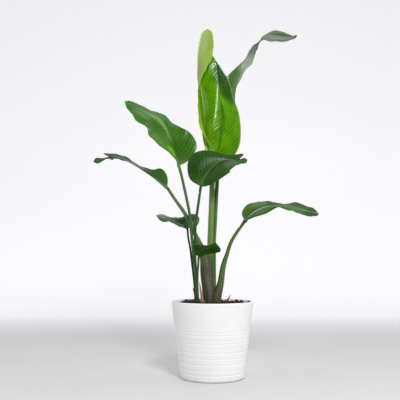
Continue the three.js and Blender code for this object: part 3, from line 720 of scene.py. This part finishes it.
POT_ROUGH = (0.30, 0.38)
POT_BUMP, POT_FLECK_RELIEF = 0.0002, 0.2
POT_COAT, POT_COAT_ROUGH = 0.25, 0.15
SCUFF_HEIGHT, SCUFF_SHOW = 0.012, 0.5
EARTH_ROUGH = (0.75, 0.95)
EARTH_BUMP = 0.0012
EARTH_FLECKS = 0.5


def new_material(name):
    material = bpy.data.materials.new(name)
    material.use_nodes = True
    tree = material.node_tree
    return material, tree, tree.nodes["Principled BSDF"]


def object_place(tree):
    return add_node(tree, "TexCoord", {}).outputs["Object"]


def one_axis(tree, vector, axis):
    return add_node(tree, "SeparateXYZ", {0: vector}).outputs[axis]


def map_place(tree, map_name):
    """The two coordinates of a named uv map."""
    source = add_node(tree, "UVMap", {}, uv_map=map_name).outputs[0]
    return one_axis(tree, source, 0), one_axis(tree, source, 1)


def mottle_over(tree, scale):
    return use_group(tree, MOTTLE, {"Vector": object_place(tree), "Scale": scale})


def finish_surface(tree, shader, colour, mask, rough, height, depth):
    """Wires up the colour, the roughness, which follows a mask between two values, and the bump."""
    wire(tree, shader.inputs["Base Color"], colour)
    wire(tree, shader.inputs["Roughness"], rise(tree, mask, 0.0, 1.0, *rough))
    bump = add_node(tree, "Bump", {"Height": height, "Distance": depth})
    wire(tree, shader.inputs["Normal"], bump.outputs[0])


def blade_material(name, look, rib_radius, bump_gain):
    """The upper side or the underside of a blade."""
    material, tree, shader = new_material(name)
    along, off_rib = map_place(tree, "Grain")
    share, across = map_place(tree, "Place")
    veins = use_group(tree, VEINS, {"Along": along, "Off Rib": off_rib, "Spacing": look["spacing"]})
    zones = use_group(tree, ZONES, {
        "Share": share, "Across": across, "Off Rib": off_rib, "Rib Radius": rib_radius})
    mottle = mottle_over(tree, BLADE_MOTTLE)
    colour = tint(tree, mottle["Patches"], paint(look["deep"]), paint(look["light"]))
    colour = coat(tree, colour, veins["Bands"], look["bands"], look["vein"])
    colour = coat(tree, colour, veins["Lines"], look["lines"], look["vein"])
    for at_share, at_across, reach_share, reach_across, code, strength in look["spots"]:
        spot = use_group(tree, SPOT, {
            "Share": share, "Across": across, "At Share": at_share, "At Across": at_across,
            "Reach Share": reach_share, "Reach Across": reach_across})["Spot"]
        streaks = rise(tree, veins["Lines"], 0.0, 1.0, SPOT_BETWEEN_LINES * strength, strength)
        colour = coat(tree, colour, spot, streaks, code)
    rib_show = rise(tree, share, look["rib_from"], look["rib_from"] + RIB_ONSET, 0.0, look["rib_show"])
    colour = coat(tree, colour, zones["Halo"], times(tree, rib_show, HALO_TINT), look["rib"])
    colour = coat(tree, colour, zones["Rib"], rib_show, look["rib"])
    colour = coat(tree, colour, zones["Joint End"], JOINT_TINT, look["rib"])
    colour = coat(tree, colour, zones["Margin"], MARGIN_TINT, look["margin"])
    colour = coat(tree, colour, mottle["Flecks"], BLADE_FLECKS, look["deep"])
    masks = (veins["Lines"], veins["Bands"], mottle["Flecks"])
    height = relief(tree, zip(masks, BLADE_RELIEF))
    height = times(tree, height, calc(tree, "SUBTRACT", 1.0, zones["Rib"]))
    rough = [look["rough"] + spread for spread in ROUGH_SPREAD]
    finish_surface(tree, shader, colour, mottle["Patches"], rough, height, look["bump"] * bump_gain)
    shader.inputs["Specular IOR Level"].default_value = look["specular"]
    return material


def stalk_material(name, look):
    material, tree, shader = new_material(name)
    along, around = map_place(tree, "Grain")
    share, across = map_place(tree, "Place")
    fibres = use_group(tree, FIBRES, {"Along": along, "Around": around})
    streaks, threads = fibres["Streaks"], fibres["Threads"]
    mottle = mottle_over(tree, STALK_MOTTLE)
    colour = tint(tree, streaks, paint(look["deep"]), paint(look["light"]))
    colour = coat(tree, colour, threads, THREAD_TINT, look["thread"])
    edge = rise(tree, times(tree, across, look["edge_side"]), look["edge_from"], 1.0)
    colour = coat(tree, colour, edge, look["edge_show"], look["edge"])
    fade = [look["foot_height"] + past for past in FOOT_FADE]
    foot = rise(tree, calc(tree, "MULTIPLY_ADD", streaks, FOOT_RAGGED, along), *fade)
    sheath = tint(tree, streaks, paint(look["foot"]), paint(look["foot_light"]))
    colour = tint(tree, times(tree, foot, look["foot_show"]), colour, sheath)
    for at, lean, reach, top, code, strength in look["bands"]:
        place = calc(tree, "MULTIPLY_ADD", along, lean, at)
        band = rise(tree, gap(tree, across, place), reach, BAND_CORE * reach)
        band = times(tree, band, rise(tree, along, top + BAND_FADE, top - BAND_FADE))
        show = rise(tree, streaks, 0.0, 1.0, strength, BAND_BETWEEN_STREAKS * strength)
        colour = coat(tree, colour, band, show, code)
    collar = rise(tree, gap(tree, share, look["collar_at"]), look["collar_reach"], COLLAR_CORE)
    colour = coat(tree, colour, collar, look["collar_show"], look["collar"])
    colour = coat(tree, colour, mottle["Flecks"], STALK_FLECKS, look["foot"])
    height = relief(tree, [(streaks, 1.0), (threads, THREAD_RELIEF)])
    finish_surface(tree, shader, colour, threads, STALK_ROUGH, height, STALK_BUMP)
    shader.inputs["Specular IOR Level"].default_value = STALK_SPECULAR
    return material


def pot_material():
    material, tree, shader = new_material("Glazed white planter")
    mottle = mottle_over(tree, POT_MOTTLE)
    colour = tint(tree, mottle["Patches"], paint("f5f5f5"), paint("f9f9f8"))
    scuffed = rise(tree, one_axis(tree, object_place(tree), 2), SCUFF_HEIGHT, 0.0, 0.0, SCUFF_SHOW)
    colour = coat(tree, colour, mottle["Flecks"], scuffed, "b9b5ac")
    height = relief(tree, [(mottle["Patches"], 1.0), (mottle["Flecks"], POT_FLECK_RELIEF)])
    finish_surface(tree, shader, colour, mottle["Patches"], POT_ROUGH, height, POT_BUMP)
    shader.inputs["Coat Weight"].default_value = POT_COAT
    shader.inputs["Coat Roughness"].default_value = POT_COAT_ROUGH
    return material


def earth_material(name, deep, light, fleck, scale):
    material, tree, shader = new_material(name)
    mottle = mottle_over(tree, scale)
    flecks = mottle["Flecks"]
    colour = tint(tree, mottle["Patches"], paint(deep), paint(light))
    colour = coat(tree, colour, flecks, EARTH_FLECKS, fleck)
    finish_surface(tree, shader, colour, flecks, EARTH_ROUGH, flecks, EARTH_BUMP)
    return material


# ---- Planter ----
FOOT_FLAT_RADIUS = 0.05
FLOOR_RADIUS = 0.09
FLOOR_HEIGHT = 0.008
INNER_HEIGHTS = (0.240, 0.236, 0.230, 0.200, 0.100, 0.015)
CORNER_STEPS = 6
SIDE_STEPS = 200
LIP_STEPS = 10


def cone_radius(height):
    return mix(FOOT_RADIUS, RIM_RADIUS, height / POT_HEIGHT)


def pot_radius(height):
    groove = sum(strength * math.exp(-((height - at) / GROOVE_HALF_WIDTH) ** 2)
                 for at, strength in zip(GROOVE_HEIGHTS, GROOVE_STRENGTHS))
    return cone_radius(height) - GROOVE_DEPTH * groove


def round_corner(centre, radius, start, end, steps):
    turns = np.radians(np.linspace(start, end, steps + 1))
    return [(centre[0] + radius * math.cos(a), centre[1] + radius * math.sin(a)) for a in turns]


def pot_profile():
    """Radius and height from under the foot, up the ribbed side, over the lip and down inside."""
    corner = (pot_radius(EDGE_ROUNDING) - EDGE_ROUNDING, EDGE_ROUNDING)
    profile = [(0, 0), (FOOT_FLAT_RADIUS, 0)]
    profile += round_corner(corner, EDGE_ROUNDING, -90, 0, CORNER_STEPS)
    lip_height = POT_HEIGHT - WALL / 2
    for step in range(1, SIDE_STEPS):
        height = mix(EDGE_ROUNDING, lip_height, step / SIDE_STEPS)
        profile.append((pot_radius(height), height))
    lip = (pot_radius(lip_height) - WALL / 2, lip_height)
    profile += round_corner(lip, WALL / 2, 0, 180, LIP_STEPS)
    profile += [(cone_radius(height) - WALL, height) for height in INNER_HEIGHTS]
    return profile + [(FLOOR_RADIUS, FLOOR_HEIGHT), (0, FLOOR_HEIGHT)]


def make_planter(material):
    profile = pot_profile()
    turns = np.linspace(0, TURN, POT_SIDES, endpoint=False)
    rings = [[(r * math.cos(a), r * math.sin(a), z) for a in turns] for r, z in profile[1:-1]]
    points = np.array(rings).reshape(-1, 3)
    faces = closed_sweep(len(rings), POT_SIDES)
    piece = new_piece("glazed_planter", points, faces, np.zeros(len(faces)), {}, [material])
    stand_for(piece, "pot")


# ---- Soil ----
SOIL_RINGS, SOIL_SIDES = 46, 150
SOIL_SEED = 11
SOIL_SURFACE = 0.236
SOIL_SKIRT = 0.215
SWELL_HEIGHT, SWELL_X, SWELL_Y = 0.0014, 0.011, 0.013
RIPPLE_HEIGHT, RIPPLE_LENGTH = 0.0009, 0.007
MOUND_PLACE, MOUND_HEIGHT, MOUND_SPREAD = (-0.020, -0.008), 0.0035, 0.0036
CRUMB_HEIGHT, CRUMB_FINENESS = 0.0016, 130
# The noise of the crumbs: the level it is read at, how fast it fades, its steps and their number.
CRUMB_LEVEL, CRUMB_FADE, CRUMB_STEP, CRUMB_LAYERS = 0.3, 0.6, 2.2, 4
LUMP_ROUGHNESS, LUMP_FINENESS, LUMP_VARIETY = 0.35, 1.7, 9
LUMP_STRETCH = (0.6, 1.5)
BIG_LUMP = 0.0035
LUMP_COUNT = 420
LUMP_SIZES = [0.0016, 0.0022, 0.0030, 0.0042, 0.0060]
LUMP_KINDS, LUMP_KIND_WEIGHTS = [0, 1, 2], [6, 3, 0.6]
LUMP_RIM_GAP = 0.006
LUMP_RAISED = 0.3
DRY_SCRAP = (-0.030, -0.050)
SCRAP_SIZE, SCRAP_RAISED, SCRAP_KIND = 0.0060, 0.005, 2


def soil_height(x, y):
    swell = SWELL_HEIGHT * math.sin(x / SWELL_X) * math.cos(y / SWELL_Y)
    ripple = RIPPLE_HEIGHT * math.sin((x + 2 * y) / RIPPLE_LENGTH)
    off_mound = (x - MOUND_PLACE[0]) ** 2 + (y - MOUND_PLACE[1]) ** 2
    mound = MOUND_HEIGHT * math.exp(-off_mound / MOUND_SPREAD)
    place = Vector((x, y, CRUMB_LEVEL)) * CRUMB_FINENESS
    crumbs = CRUMB_HEIGHT * noise.fractal(place, CRUMB_FADE, CRUMB_STEP, CRUMB_LAYERS)
    return SOIL_SURFACE + swell + ripple + mound + crumbs


def lump(mesh, centre, size, material_index):
    """A rough lump that lies on the soil."""
    turn = Vector([random.uniform(-1, 1) for _ in range(3)])
    stretch = [random.uniform(*LUMP_STRETCH) for _ in range(3)]
    fineness = 2 if size > BIG_LUMP else 1
    made = bmesh.ops.create_icosphere(mesh, subdivisions=fineness, radius=1)["verts"]
    spin = Vector((0, 0, 1)).rotation_difference(turn)
    for vert in made:
        push = 1 + LUMP_ROUGHNESS * noise.noise(vert.co * LUMP_FINENESS + turn * LUMP_VARIETY)
        vert.co = spin @ Vector([c * s * size * push for c, s in zip(vert.co, stretch)]) + centre
    for face in {face for vert in made for face in vert.link_faces}:
        face.material_index = material_index
        face.smooth = True


def soil_ring(mesh, radius, height=None):
    """A ring of points on the soil's surface, or at one height."""
    ring = []
    for k in range(SOIL_SIDES):
        x, y = radius * math.cos(TURN * k / SOIL_SIDES), radius * math.sin(TURN * k / SOIL_SIDES)
        ring.append(mesh.verts.new((x, y, height or soil_height(x, y))))
    return ring


def make_soil(materials):
    random.seed(SOIL_SEED)
    mesh = bmesh.new()
    reach = cone_radius(SOIL_LEVEL) - WALL - CLEARANCE
    rows = [soil_ring(mesh, reach * i / SOIL_RINGS) for i in range(1, SOIL_RINGS + 1)]
    rows.append(soil_ring(mesh, cone_radius(SOIL_SKIRT) - WALL - CLEARANCE, SOIL_SKIRT))
    middle = mesh.verts.new((0, 0, soil_height(0, 0)))
    for k in range(SOIL_SIDES):
        after = (k + 1) % SOIL_SIDES
        mesh.faces.new((middle, rows[0][k], rows[0][after]))
        for inner, outer in zip(rows, rows[1:]):
            mesh.faces.new((inner[k], outer[k], outer[after], inner[after]))
    mesh.faces.new(rows[-1][::-1])
    for face in mesh.faces:
        face.smooth = True
    for _ in range(LUMP_COUNT):
        radius, angle = (reach - LUMP_RIM_GAP) * math.sqrt(random.random()), random.uniform(0, TURN)
        x, y = radius * math.cos(angle), radius * math.sin(angle)
        size = random.choice(LUMP_SIZES)
        kind = random.choices(LUMP_KINDS, LUMP_KIND_WEIGHTS)[0]
        lump(mesh, Vector((x, y, soil_height(x, y) + size * LUMP_RAISED)), size, kind)
    x, y = DRY_SCRAP
    lump(mesh, Vector((x, y, soil_height(x, y) + SCRAP_RAISED)), SCRAP_SIZE, SCRAP_KIND)
    data = bpy.data.meshes.new("potting_mix")
    mesh.to_mesh(data)
    mesh.free()
    for material in materials:
        data.materials.append(material)
    piece = bpy.data.objects.new("potting_mix", data)
    bpy.context.collection.objects.link(piece)
    stand_for(piece, "soil")


# ---- Small growths at the foot ----
GROWTHS = {
    "dry_scale": {
        "points": mm([(-31, 3, 190), (-31, 3, 248), (-33.5, 3, 270), (-37.5, 2.5, 290), (-41.5, 2, 308)]),
        "sizes": [(0.008, 0.0067, 120), (0.008, 0.0067, 120), (0.0068, 0.0056, 112),
                  (0.0045, 0.0036, 100), (0.0014, 0.0006, 90)],
        "back": (-0.7, -0.7, 0), "slot": "dry_scale",
    },
    "red_sprout": {
        "points": mm([(47, 2, 190), (47, 2, 240), (51, 1, 250), (56, 0, 258), (60, 0, 265)]),
        "sizes": [(0.0034, 0.0008, 250), (0.0034, 0.0008, 250), (0.003, 0.0007, 250),
                  (0.0019, 0.0005, 250), (0.0007, 0.0002, 250)],
        "back": (0.8, -0.6, 0), "slot": "red_shoot",
    },
    "dry_stub": {
        "points": mm([(-57, 14, 190), (-57, 14, 248), (-59, 13, 270), (-62, 12, 286)]),
        "sizes": [(0.0024, 0.0006, 250), (0.0024, 0.0006, 250), (0.0022, 0.0005, 250),
                  (0.0030, 0.0008, 250)],
        "back": (-1, 0, 0), "slot": "dry_stub",
    },
}


def make_growth(name, look):
    growth = GROWTHS[name]
    rows = (len(growth["points"]) - 1) * STALK_ROWS_PER_STATION
    t = np.linspace(0, 1, rows + 1)
    centres, sizes = spline(growth["points"], t), spline(growth["sizes"], t)
    backs = np.repeat([growth["back"]], rows + 1, axis=0)
    points, faces, layers = crescent_sweep(centres, backs, np.maximum(sizes, THINNEST))
    material = stalk_material(name.replace("_", " ").capitalize() + " skin", look)
    piece = new_piece(name + "_growth", points, faces, np.zeros(len(faces)), layers, [material])
    stand_for(piece, name)


# ---- Looks of each frond ----
PLAIN_SIDE = {"bands": 0.25, "lines": 0.15, "spacing": 0.0026, "rib_from": -0.2, "rib_show": 0.6,
              "bump": 0.00012, "specular": 0.35, "spots": []}
PLAIN_STALK = {"edge_side": 1.0, "edge_from": 0.75, "edge_show": 0.6, "foot_show": 0.85, "bands": [],
               "collar_at": 0.97, "collar_reach": 0.02, "collar_show": 0.0}


def side_look(*main, **own):
    """One side of a blade. A spot is its place along and across the blade, its reach each way,
    its colour and its strength; across is negative on the left half."""
    keys = ("deep", "light", "vein", "rib", "margin", "rough")
    return {**PLAIN_SIDE, **dict(zip(keys, main)), **own}


def stalk_look(*main, **own):
    """A stalk. A band is its place round the stalk, its lean, its reach, its top, its colour and
    its strength; the foot's colour reaches up to its height."""
    look = dict(zip(("deep", "light", "thread", "edge", "foot", "foot_height"), main))
    return {**PLAIN_STALK, **look, "foot_light": look["foot"], "collar": look["foot"], **own}


LOOKS = {
    "frond_tall_unfurling": {
        "upper": side_look("3c7200", "549000", "74ae12", "8fbb3c", "a9c84f", 0.12, bands=0.2, lines=0.1,
            specular=0.26, bump=0.0002, spots=[
                # The first spot is a painted shadow on the flank right of the fold; the next two are painted
                # shade along the crease.
                (0.53, 0.88, 0.15, 0.44, "0c3400", 1.6), (0.22, 0.44, 0.12, 0.06, "2c5806", 1.1),
                # The last spot is painted light on the shaded left half.
                (0.34, 0.51, 0.12, 0.06, "2c5806", 1.1), (0.36, -1.0, 0.4, 0.7, "a4c43a", 1.3)]),
        "under": side_look("7c9a28", "8caa34", "a4be50", "b2c870", "b4cc56", 0.38, spots=[
                # The second spot is painted light on the shaded lower left flap.
                (0.84, -0.25, 0.24, 0.42, "a6bc86", 0.8), (0.14, -0.6, 0.22, 0.8, "a8d830", 1.3)]),
        "stalk": stalk_look("557a36", "71934a", "93ab60", "5c6a34", "344a26", 0.21, edge_show=0.5,
            foot_light="4a6434", foot_show=0.95, bands=[
                # The second band is a painted highlight down the middle of the stalk.
                (-0.22, 0.0, 0.07, 9.0, "7a4a34", 0.7), (0.08, 0.0, 0.16, 9.0, "94a850", 0.45)]),
    },
    "frond_tall_twisted": {
        "upper": side_look("2a5418", "386624", "668a58", "7d9a68", "6c9052", 0.3, bands=0.45, lines=0.3,
            rib_show=0.3, spacing=0.0034, spots=[
                # The second spot is painted highlight streaks on the lower blade.
                (0.42, 0.1, 0.14, 2.0, "b2beb4", 1.2), (0.29, 0.85, 0.26, 0.75, "b9c6b9", 1.2),
                (0.24, -0.5, 0.14, 0.8, "4a7432", 0.6), (0.53, -0.4, 0.12, 1.5, "82848c", 1.3),
                (0.79, -0.1, 0.22, 2.0, "627060", 1.6), (0.86, -0.42, 0.13, 0.34, "123808", 1.9),
                (0.8, 0.28, 0.13, 0.2, "8c9a88", 0.8), (0.86, 0.6, 0.14, 0.16, "1f4c14", 1.3),
                (0.94, 0.85, 0.12, 0.4, "2a5e1a", 1.2), (0.98, -0.2, 0.1, 1.6, "3c6426", 1.1)]),
        "under": side_look("56695a", "6b7c6c", "7d8c7a", "95a283", "8c9c78", 0.42),
        "stalk": stalk_look("35602a", "4f7a3c", "769458", "5f6a34", "46522f", 0.08),
    },
    "frond_upper_left": {
        "upper": side_look("265604", "356c08", "50862a", "8cab72", "6f9c40", 0.3, rib_show=0.6,
            rib_from=0.25, lines=0.28, spots=[
                # The first two spots are a painted sheen along the rib.
                (0.64, 0.05, 0.24, 0.26, "8ca684", 0.65), (0.8, -0.3, 0.14, 0.4, "8aa880", 0.5),
                # These two spots are painted light shining through the lower left lobe.
                (0.19, -0.42, 0.14, 0.34, "86b81e", 1.1), (0.36, -0.72, 0.16, 0.26, "5c961a", 0.6)]),
        "under": side_look("4d7532", "608845", "7a9c5e", "97b274", "8dab64", 0.45),
        "stalk": stalk_look("1f4716", "2e5c22", "5a8448", "4c5e2e", "24451a", 0.08, collar="6f9c2e",
            collar_show=0.8, collar_reach=0.07),
    },
    "frond_lower_left": {
        "upper": side_look("2c5c10", "3a6e18", "5c8448", "86a36c", "70914f", 0.3),
        "under": side_look("28541a", "366624", "54784a", "6d8a5a", "6f8a5a", 0.38, rib_show=0.3,
            specular=0.25, spots=[
                # The first spot is a painted grey sheen over the middle of the blade.
                (0.58, 0.0, 0.34, 2.0, "66736c", 0.95), (0.98, 0.0, 0.12, 1.6, "56793e", 0.8),
                (0.04, 0.0, 0.26, 2.4, "356f08", 1.4)]),
        "stalk": stalk_look("3a5e2a", "648240", "83995c", "6c4c34", "382e22", 0.2, foot_light="5d5f50",
            edge_side=-1.0, collar_show=0.85, collar="3c2e1e", collar_at=0.965, bands=[
                (-0.42, 0.0, 0.3, 0.3, "35260e", 0.9), (-0.02, 0.0, 0.22, 0.3, "5c5a26", 0.5),
                (0.62, -1.6, 0.24, 0.15, "707672", 0.6), (1.16, -1.4, 0.3, 0.24, "5e2c34", 1.0),
                (0.1, 1.6, 0.1, 0.11, "36343a", 0.6)]),
    },
    "frond_front_dark": {
        "upper": side_look("173a02", "204806", "34601c", "6a8f50", "4a7030", 0.36, rib_show=0.5,
            specular=0.22, spots=[
                # Both spots are a painted grey sheen.
                (0.62, 0.5, 0.26, 0.5, "667460", 0.7), (0.75, 0.0, 0.2, 0.16, "7d8c78", 0.5)]),
        "under": side_look("3a5438", "4b6648", "637a5e", "7f926c", "72885e", 0.45),
        "stalk": stalk_look("1c4612", "2a5a1e", "5a824a", "44552a", "1f4812", 0.08),
    },
    "frond_small_left": {
        "upper": side_look("264620", "365e2c", "4a6e48", "64846a", "557654", 0.38, rib_show=0.8, spots=[
                (0.88, 0.3, 0.18, 0.9, "a3b6a2", 1.0), (0.42, 0.0, 0.18, 1.2, "142c12", 0.9),
                (0.62, 0.7, 0.18, 0.4, "8a8a4c", 1.0)]),
        "under": side_look("34503c", "43624c", "5e7a64", "7a9278", "6c8670", 0.45),
        "stalk": stalk_look("193a14", "28501f", "52784a", "3e522a", "1f3a16", 0.08),
    },
    "frond_right": {
        "upper": side_look("1c4206", "26520c", "3c6a28", "7c9a74", "6c9444", 0.34, rib_show=0.25, lines=0.25,
            specular=0.22, spots=[
                (0.15, -0.6, 0.24, 0.65, "4d7424", 1.1), (0.36, -0.5, 0.16, 0.45, "64804e", 0.8),
                # The first spot here is a painted highlight along the rib.
                (0.26, -0.01, 0.24, 0.09, "b4c6b0", 1.2), (0.24, 0.15, 0.24, 0.1, "143404", 1.8),
                # The second spot here is a painted shadow over the middle of the left half.
                (0.3, 0.6, 0.22, 0.4, "5f7f4e", 0.7), (0.5, -0.45, 0.11, 0.9, "2b3c04", 1.9),
                # The second spot here is a painted sheen along the rib towards the tip.
                (0.76, -0.85, 0.28, 0.5, "163c16", 1.3), (0.72, 0.02, 0.18, 0.32, "6c8470", 0.8),
                (0.66, 0.75, 0.16, 0.4, "5a7440", 0.8), (0.52, 0.5, 0.14, 0.5, "2c5612", 1.0),
                (0.97, -0.1, 0.08, 0.9, "17481e", 1.1), (0.955, 0.1, 0.03, 0.5, "b8922e", 2.0)]),
        "under": side_look("4c7040", "5e8250", "789666", "94aa78", "8aa06a", 0.45),
        "stalk": stalk_look("35642a", "4c7d3a", "6f9454", "4c2a14", "3c342a", 0.11, edge_side=-1.0,
            edge_from=0.5, foot_light="5d6048", edge_show=1.0, collar_show=0.7, collar="3c2e1e", bands=[
                (-0.92, 0.0, 0.4, 0.12, "4e2a1c", 0.8), (0.42, 0.0, 0.3, 0.16, "3c3a1c", 0.8)]),
    },
    "frond_small_front": {
        "upper": side_look("1a3e00", "2a5802", "2e5c12", "527a34", "426a26", 0.42, rib_show=0.3,
            specular=0.12),
        "under": side_look("1a3e00", "2a5802", "2e5a12", "3a6422", "366020", 0.42, rib_show=0.3,
            specular=0.12),
        "stalk": stalk_look("1a4410", "29591c", "587c46", "40522a", "1d4412", 0.08),
    },
}

for plan in FRONDS:
    name, look = plan["name"], LOOKS[plan["name"]]
    radius = stalk_sizes(plan)[-1][0] * RIB_SHARE
    make_frond(plan, [
        blade_material(name + " upper side", look["upper"], radius, 1),
        blade_material(name + " underside", look["under"], radius, UNDERSIDE_RELIEF),
        stalk_material(name + " stalk", look["stalk"]),
    ])

make_planter(pot_material())
make_soil([
    earth_material("Dark potting mix", "120a07", "26170f", "402a20", 90.0),
    earth_material("Bark chips", "3c2014", "5c3622", "76523a", 120.0),
    earth_material("Pale chips", "8f7a5c", "b39f7c", "6d5a42", 120.0),
])
make_growth("dry_scale", stalk_look("bc7068", "d29c92", "e4c2b4", "a4564a", "93726a", 0.03))
make_growth("red_sprout", stalk_look("7c3420", "9c5432", "b07844", "66301c", "5c2c1c", 0.03))
make_growth("dry_stub", stalk_look("3a3a24", "5a5638", "77704c", "2e2a1c", "38301f", 0.03))


# ---- Stage, light and camera ----
STAGE_HALF_WIDTH = 6.0
STAGE_FRONT = -4.0
STAGE_BACK = 3.2
STAGE_BEND = 1.2
STAGE_BEND_STEPS = 24
STAGE_TOP = 5.0
STAGE_ROUGH = (0.55, 0.65)
FLOOR_TONES = (0.63, 0.625, 0.635, 1), (0.65, 0.645, 0.655, 1)
BACKDROP_TONE = (0.82, 0.82, 0.84, 1)
GLOW_TONE = (0.98, 0.98, 1.0, 1)
BACKDROP_GLOW = 0.46
# How bright the air is beyond the backdrop, behind the camera, and where it is looked at.
AIR_LEVEL = 1.0
ROOM_LEVEL = 0.06
SEEN_LEVEL = 0.80
# How far forward a direction points where the room behind the camera gives way to the air.
ROOM_EDGE = (-0.95, 0.1)

SENSOR_WIDTH = 36
LENS = 57.6
CAMERA_PLACE = (-0.0404, -2.120, 0.391)
CAMERA_TILT = 95.04


def make_stage():
    """A pale floor that curves up into a backdrop far behind the plant."""
    material, tree, shader = new_material("Studio floor")
    mottle = mottle_over(tree, STAGE_MOTTLE)
    depth = one_axis(tree, object_place(tree), 1)
    upright = rise(tree, depth, STAGE_BACK - 2 * STAGE_BEND, STAGE_BACK)
    floor_colour = tint(tree, mottle["Patches"], *FLOOR_TONES)
    wire(tree, shader.inputs["Base Color"], tint(tree, upright, floor_colour, BACKDROP_TONE))
    wire(tree, shader.inputs["Emission Color"], tint(tree, upright, (0, 0, 0, 1), GLOW_TONE))
    shader.inputs["Emission Strength"].default_value = BACKDROP_GLOW
    wire(tree, shader.inputs["Roughness"], rise(tree, mottle["Flecks"], 0.0, 1.0, *STAGE_ROUGH))
    bend = round_corner((STAGE_BACK - STAGE_BEND, STAGE_BEND), STAGE_BEND, -90, 0, STAGE_BEND_STEPS)
    line = [(STAGE_FRONT, 0)] + bend + [(STAGE_BACK, STAGE_TOP)]
    points = [(x, y, z) for y, z in line for x in (-STAGE_HALF_WIDTH, STAGE_HALF_WIDTH)]
    faces = [(2 * i, 2 * i + 1, 2 * i + 3, 2 * i + 2) for i in range(len(line) - 1)]
    new_piece("studio_floor", points, faces, np.zeros(len(faces)), {}, [material])


def area_light(name, azimuth, elevation, distance, size, power, aim):
    """A square softbox, placed by its direction as seen from the plant."""
    turn, lift = math.radians(azimuth), math.radians(elevation)
    away = Vector((math.sin(turn) * math.cos(lift), -math.cos(turn) * math.cos(lift), math.sin(lift)))
    data = bpy.data.lights.new(name, "AREA")
    data.size = size
    data.energy = power
    light = bpy.data.objects.new(name, data)
    light.location = Vector(aim) + away * distance
    light.rotation_euler = away.to_track_quat("Z", "Y").to_euler()
    bpy.context.collection.objects.link(light)


def make_world():
    """White air all round. The side behind the camera looks as pale, but lights the plant less."""
    world = bpy.data.worlds.new("Studio air")
    world.use_nodes = True
    tree = world.node_tree
    forward = one_axis(tree, add_node(tree, "TexCoord", {}).outputs["Generated"], 1)
    level = rise(tree, forward, *ROOM_EDGE, ROOM_LEVEL, AIR_LEVEL)
    seen = add_node(tree, "LightPath", {}).outputs["Is Camera Ray"]
    level = calc(tree, "MAXIMUM", level, times(tree, seen, SEEN_LEVEL))
    background = tree.nodes["Background"]
    wire(tree, background.inputs["Strength"], level)
    background.inputs["Color"].default_value = (1.0, 1.0, 1.0, 1)
    bpy.context.scene.world = world


make_stage()
make_world()
area_light("key_softbox", azimuth=14, elevation=30, distance=2.7, size=0.6, power=54, aim=(0, 0, 0.6))

bpy.context.scene.view_settings.view_transform = "Standard"

camera_data = bpy.data.cameras.new("camera")
camera_data.sensor_width = SENSOR_WIDTH
camera_data.lens = LENS
camera = bpy.data.objects.new("camera", camera_data)
camera.location = CAMERA_PLACE
camera.rotation_euler = (math.radians(CAMERA_TILT), 0, 0)
bpy.context.collection.objects.link(camera)
bpy.context.scene.camera = camera
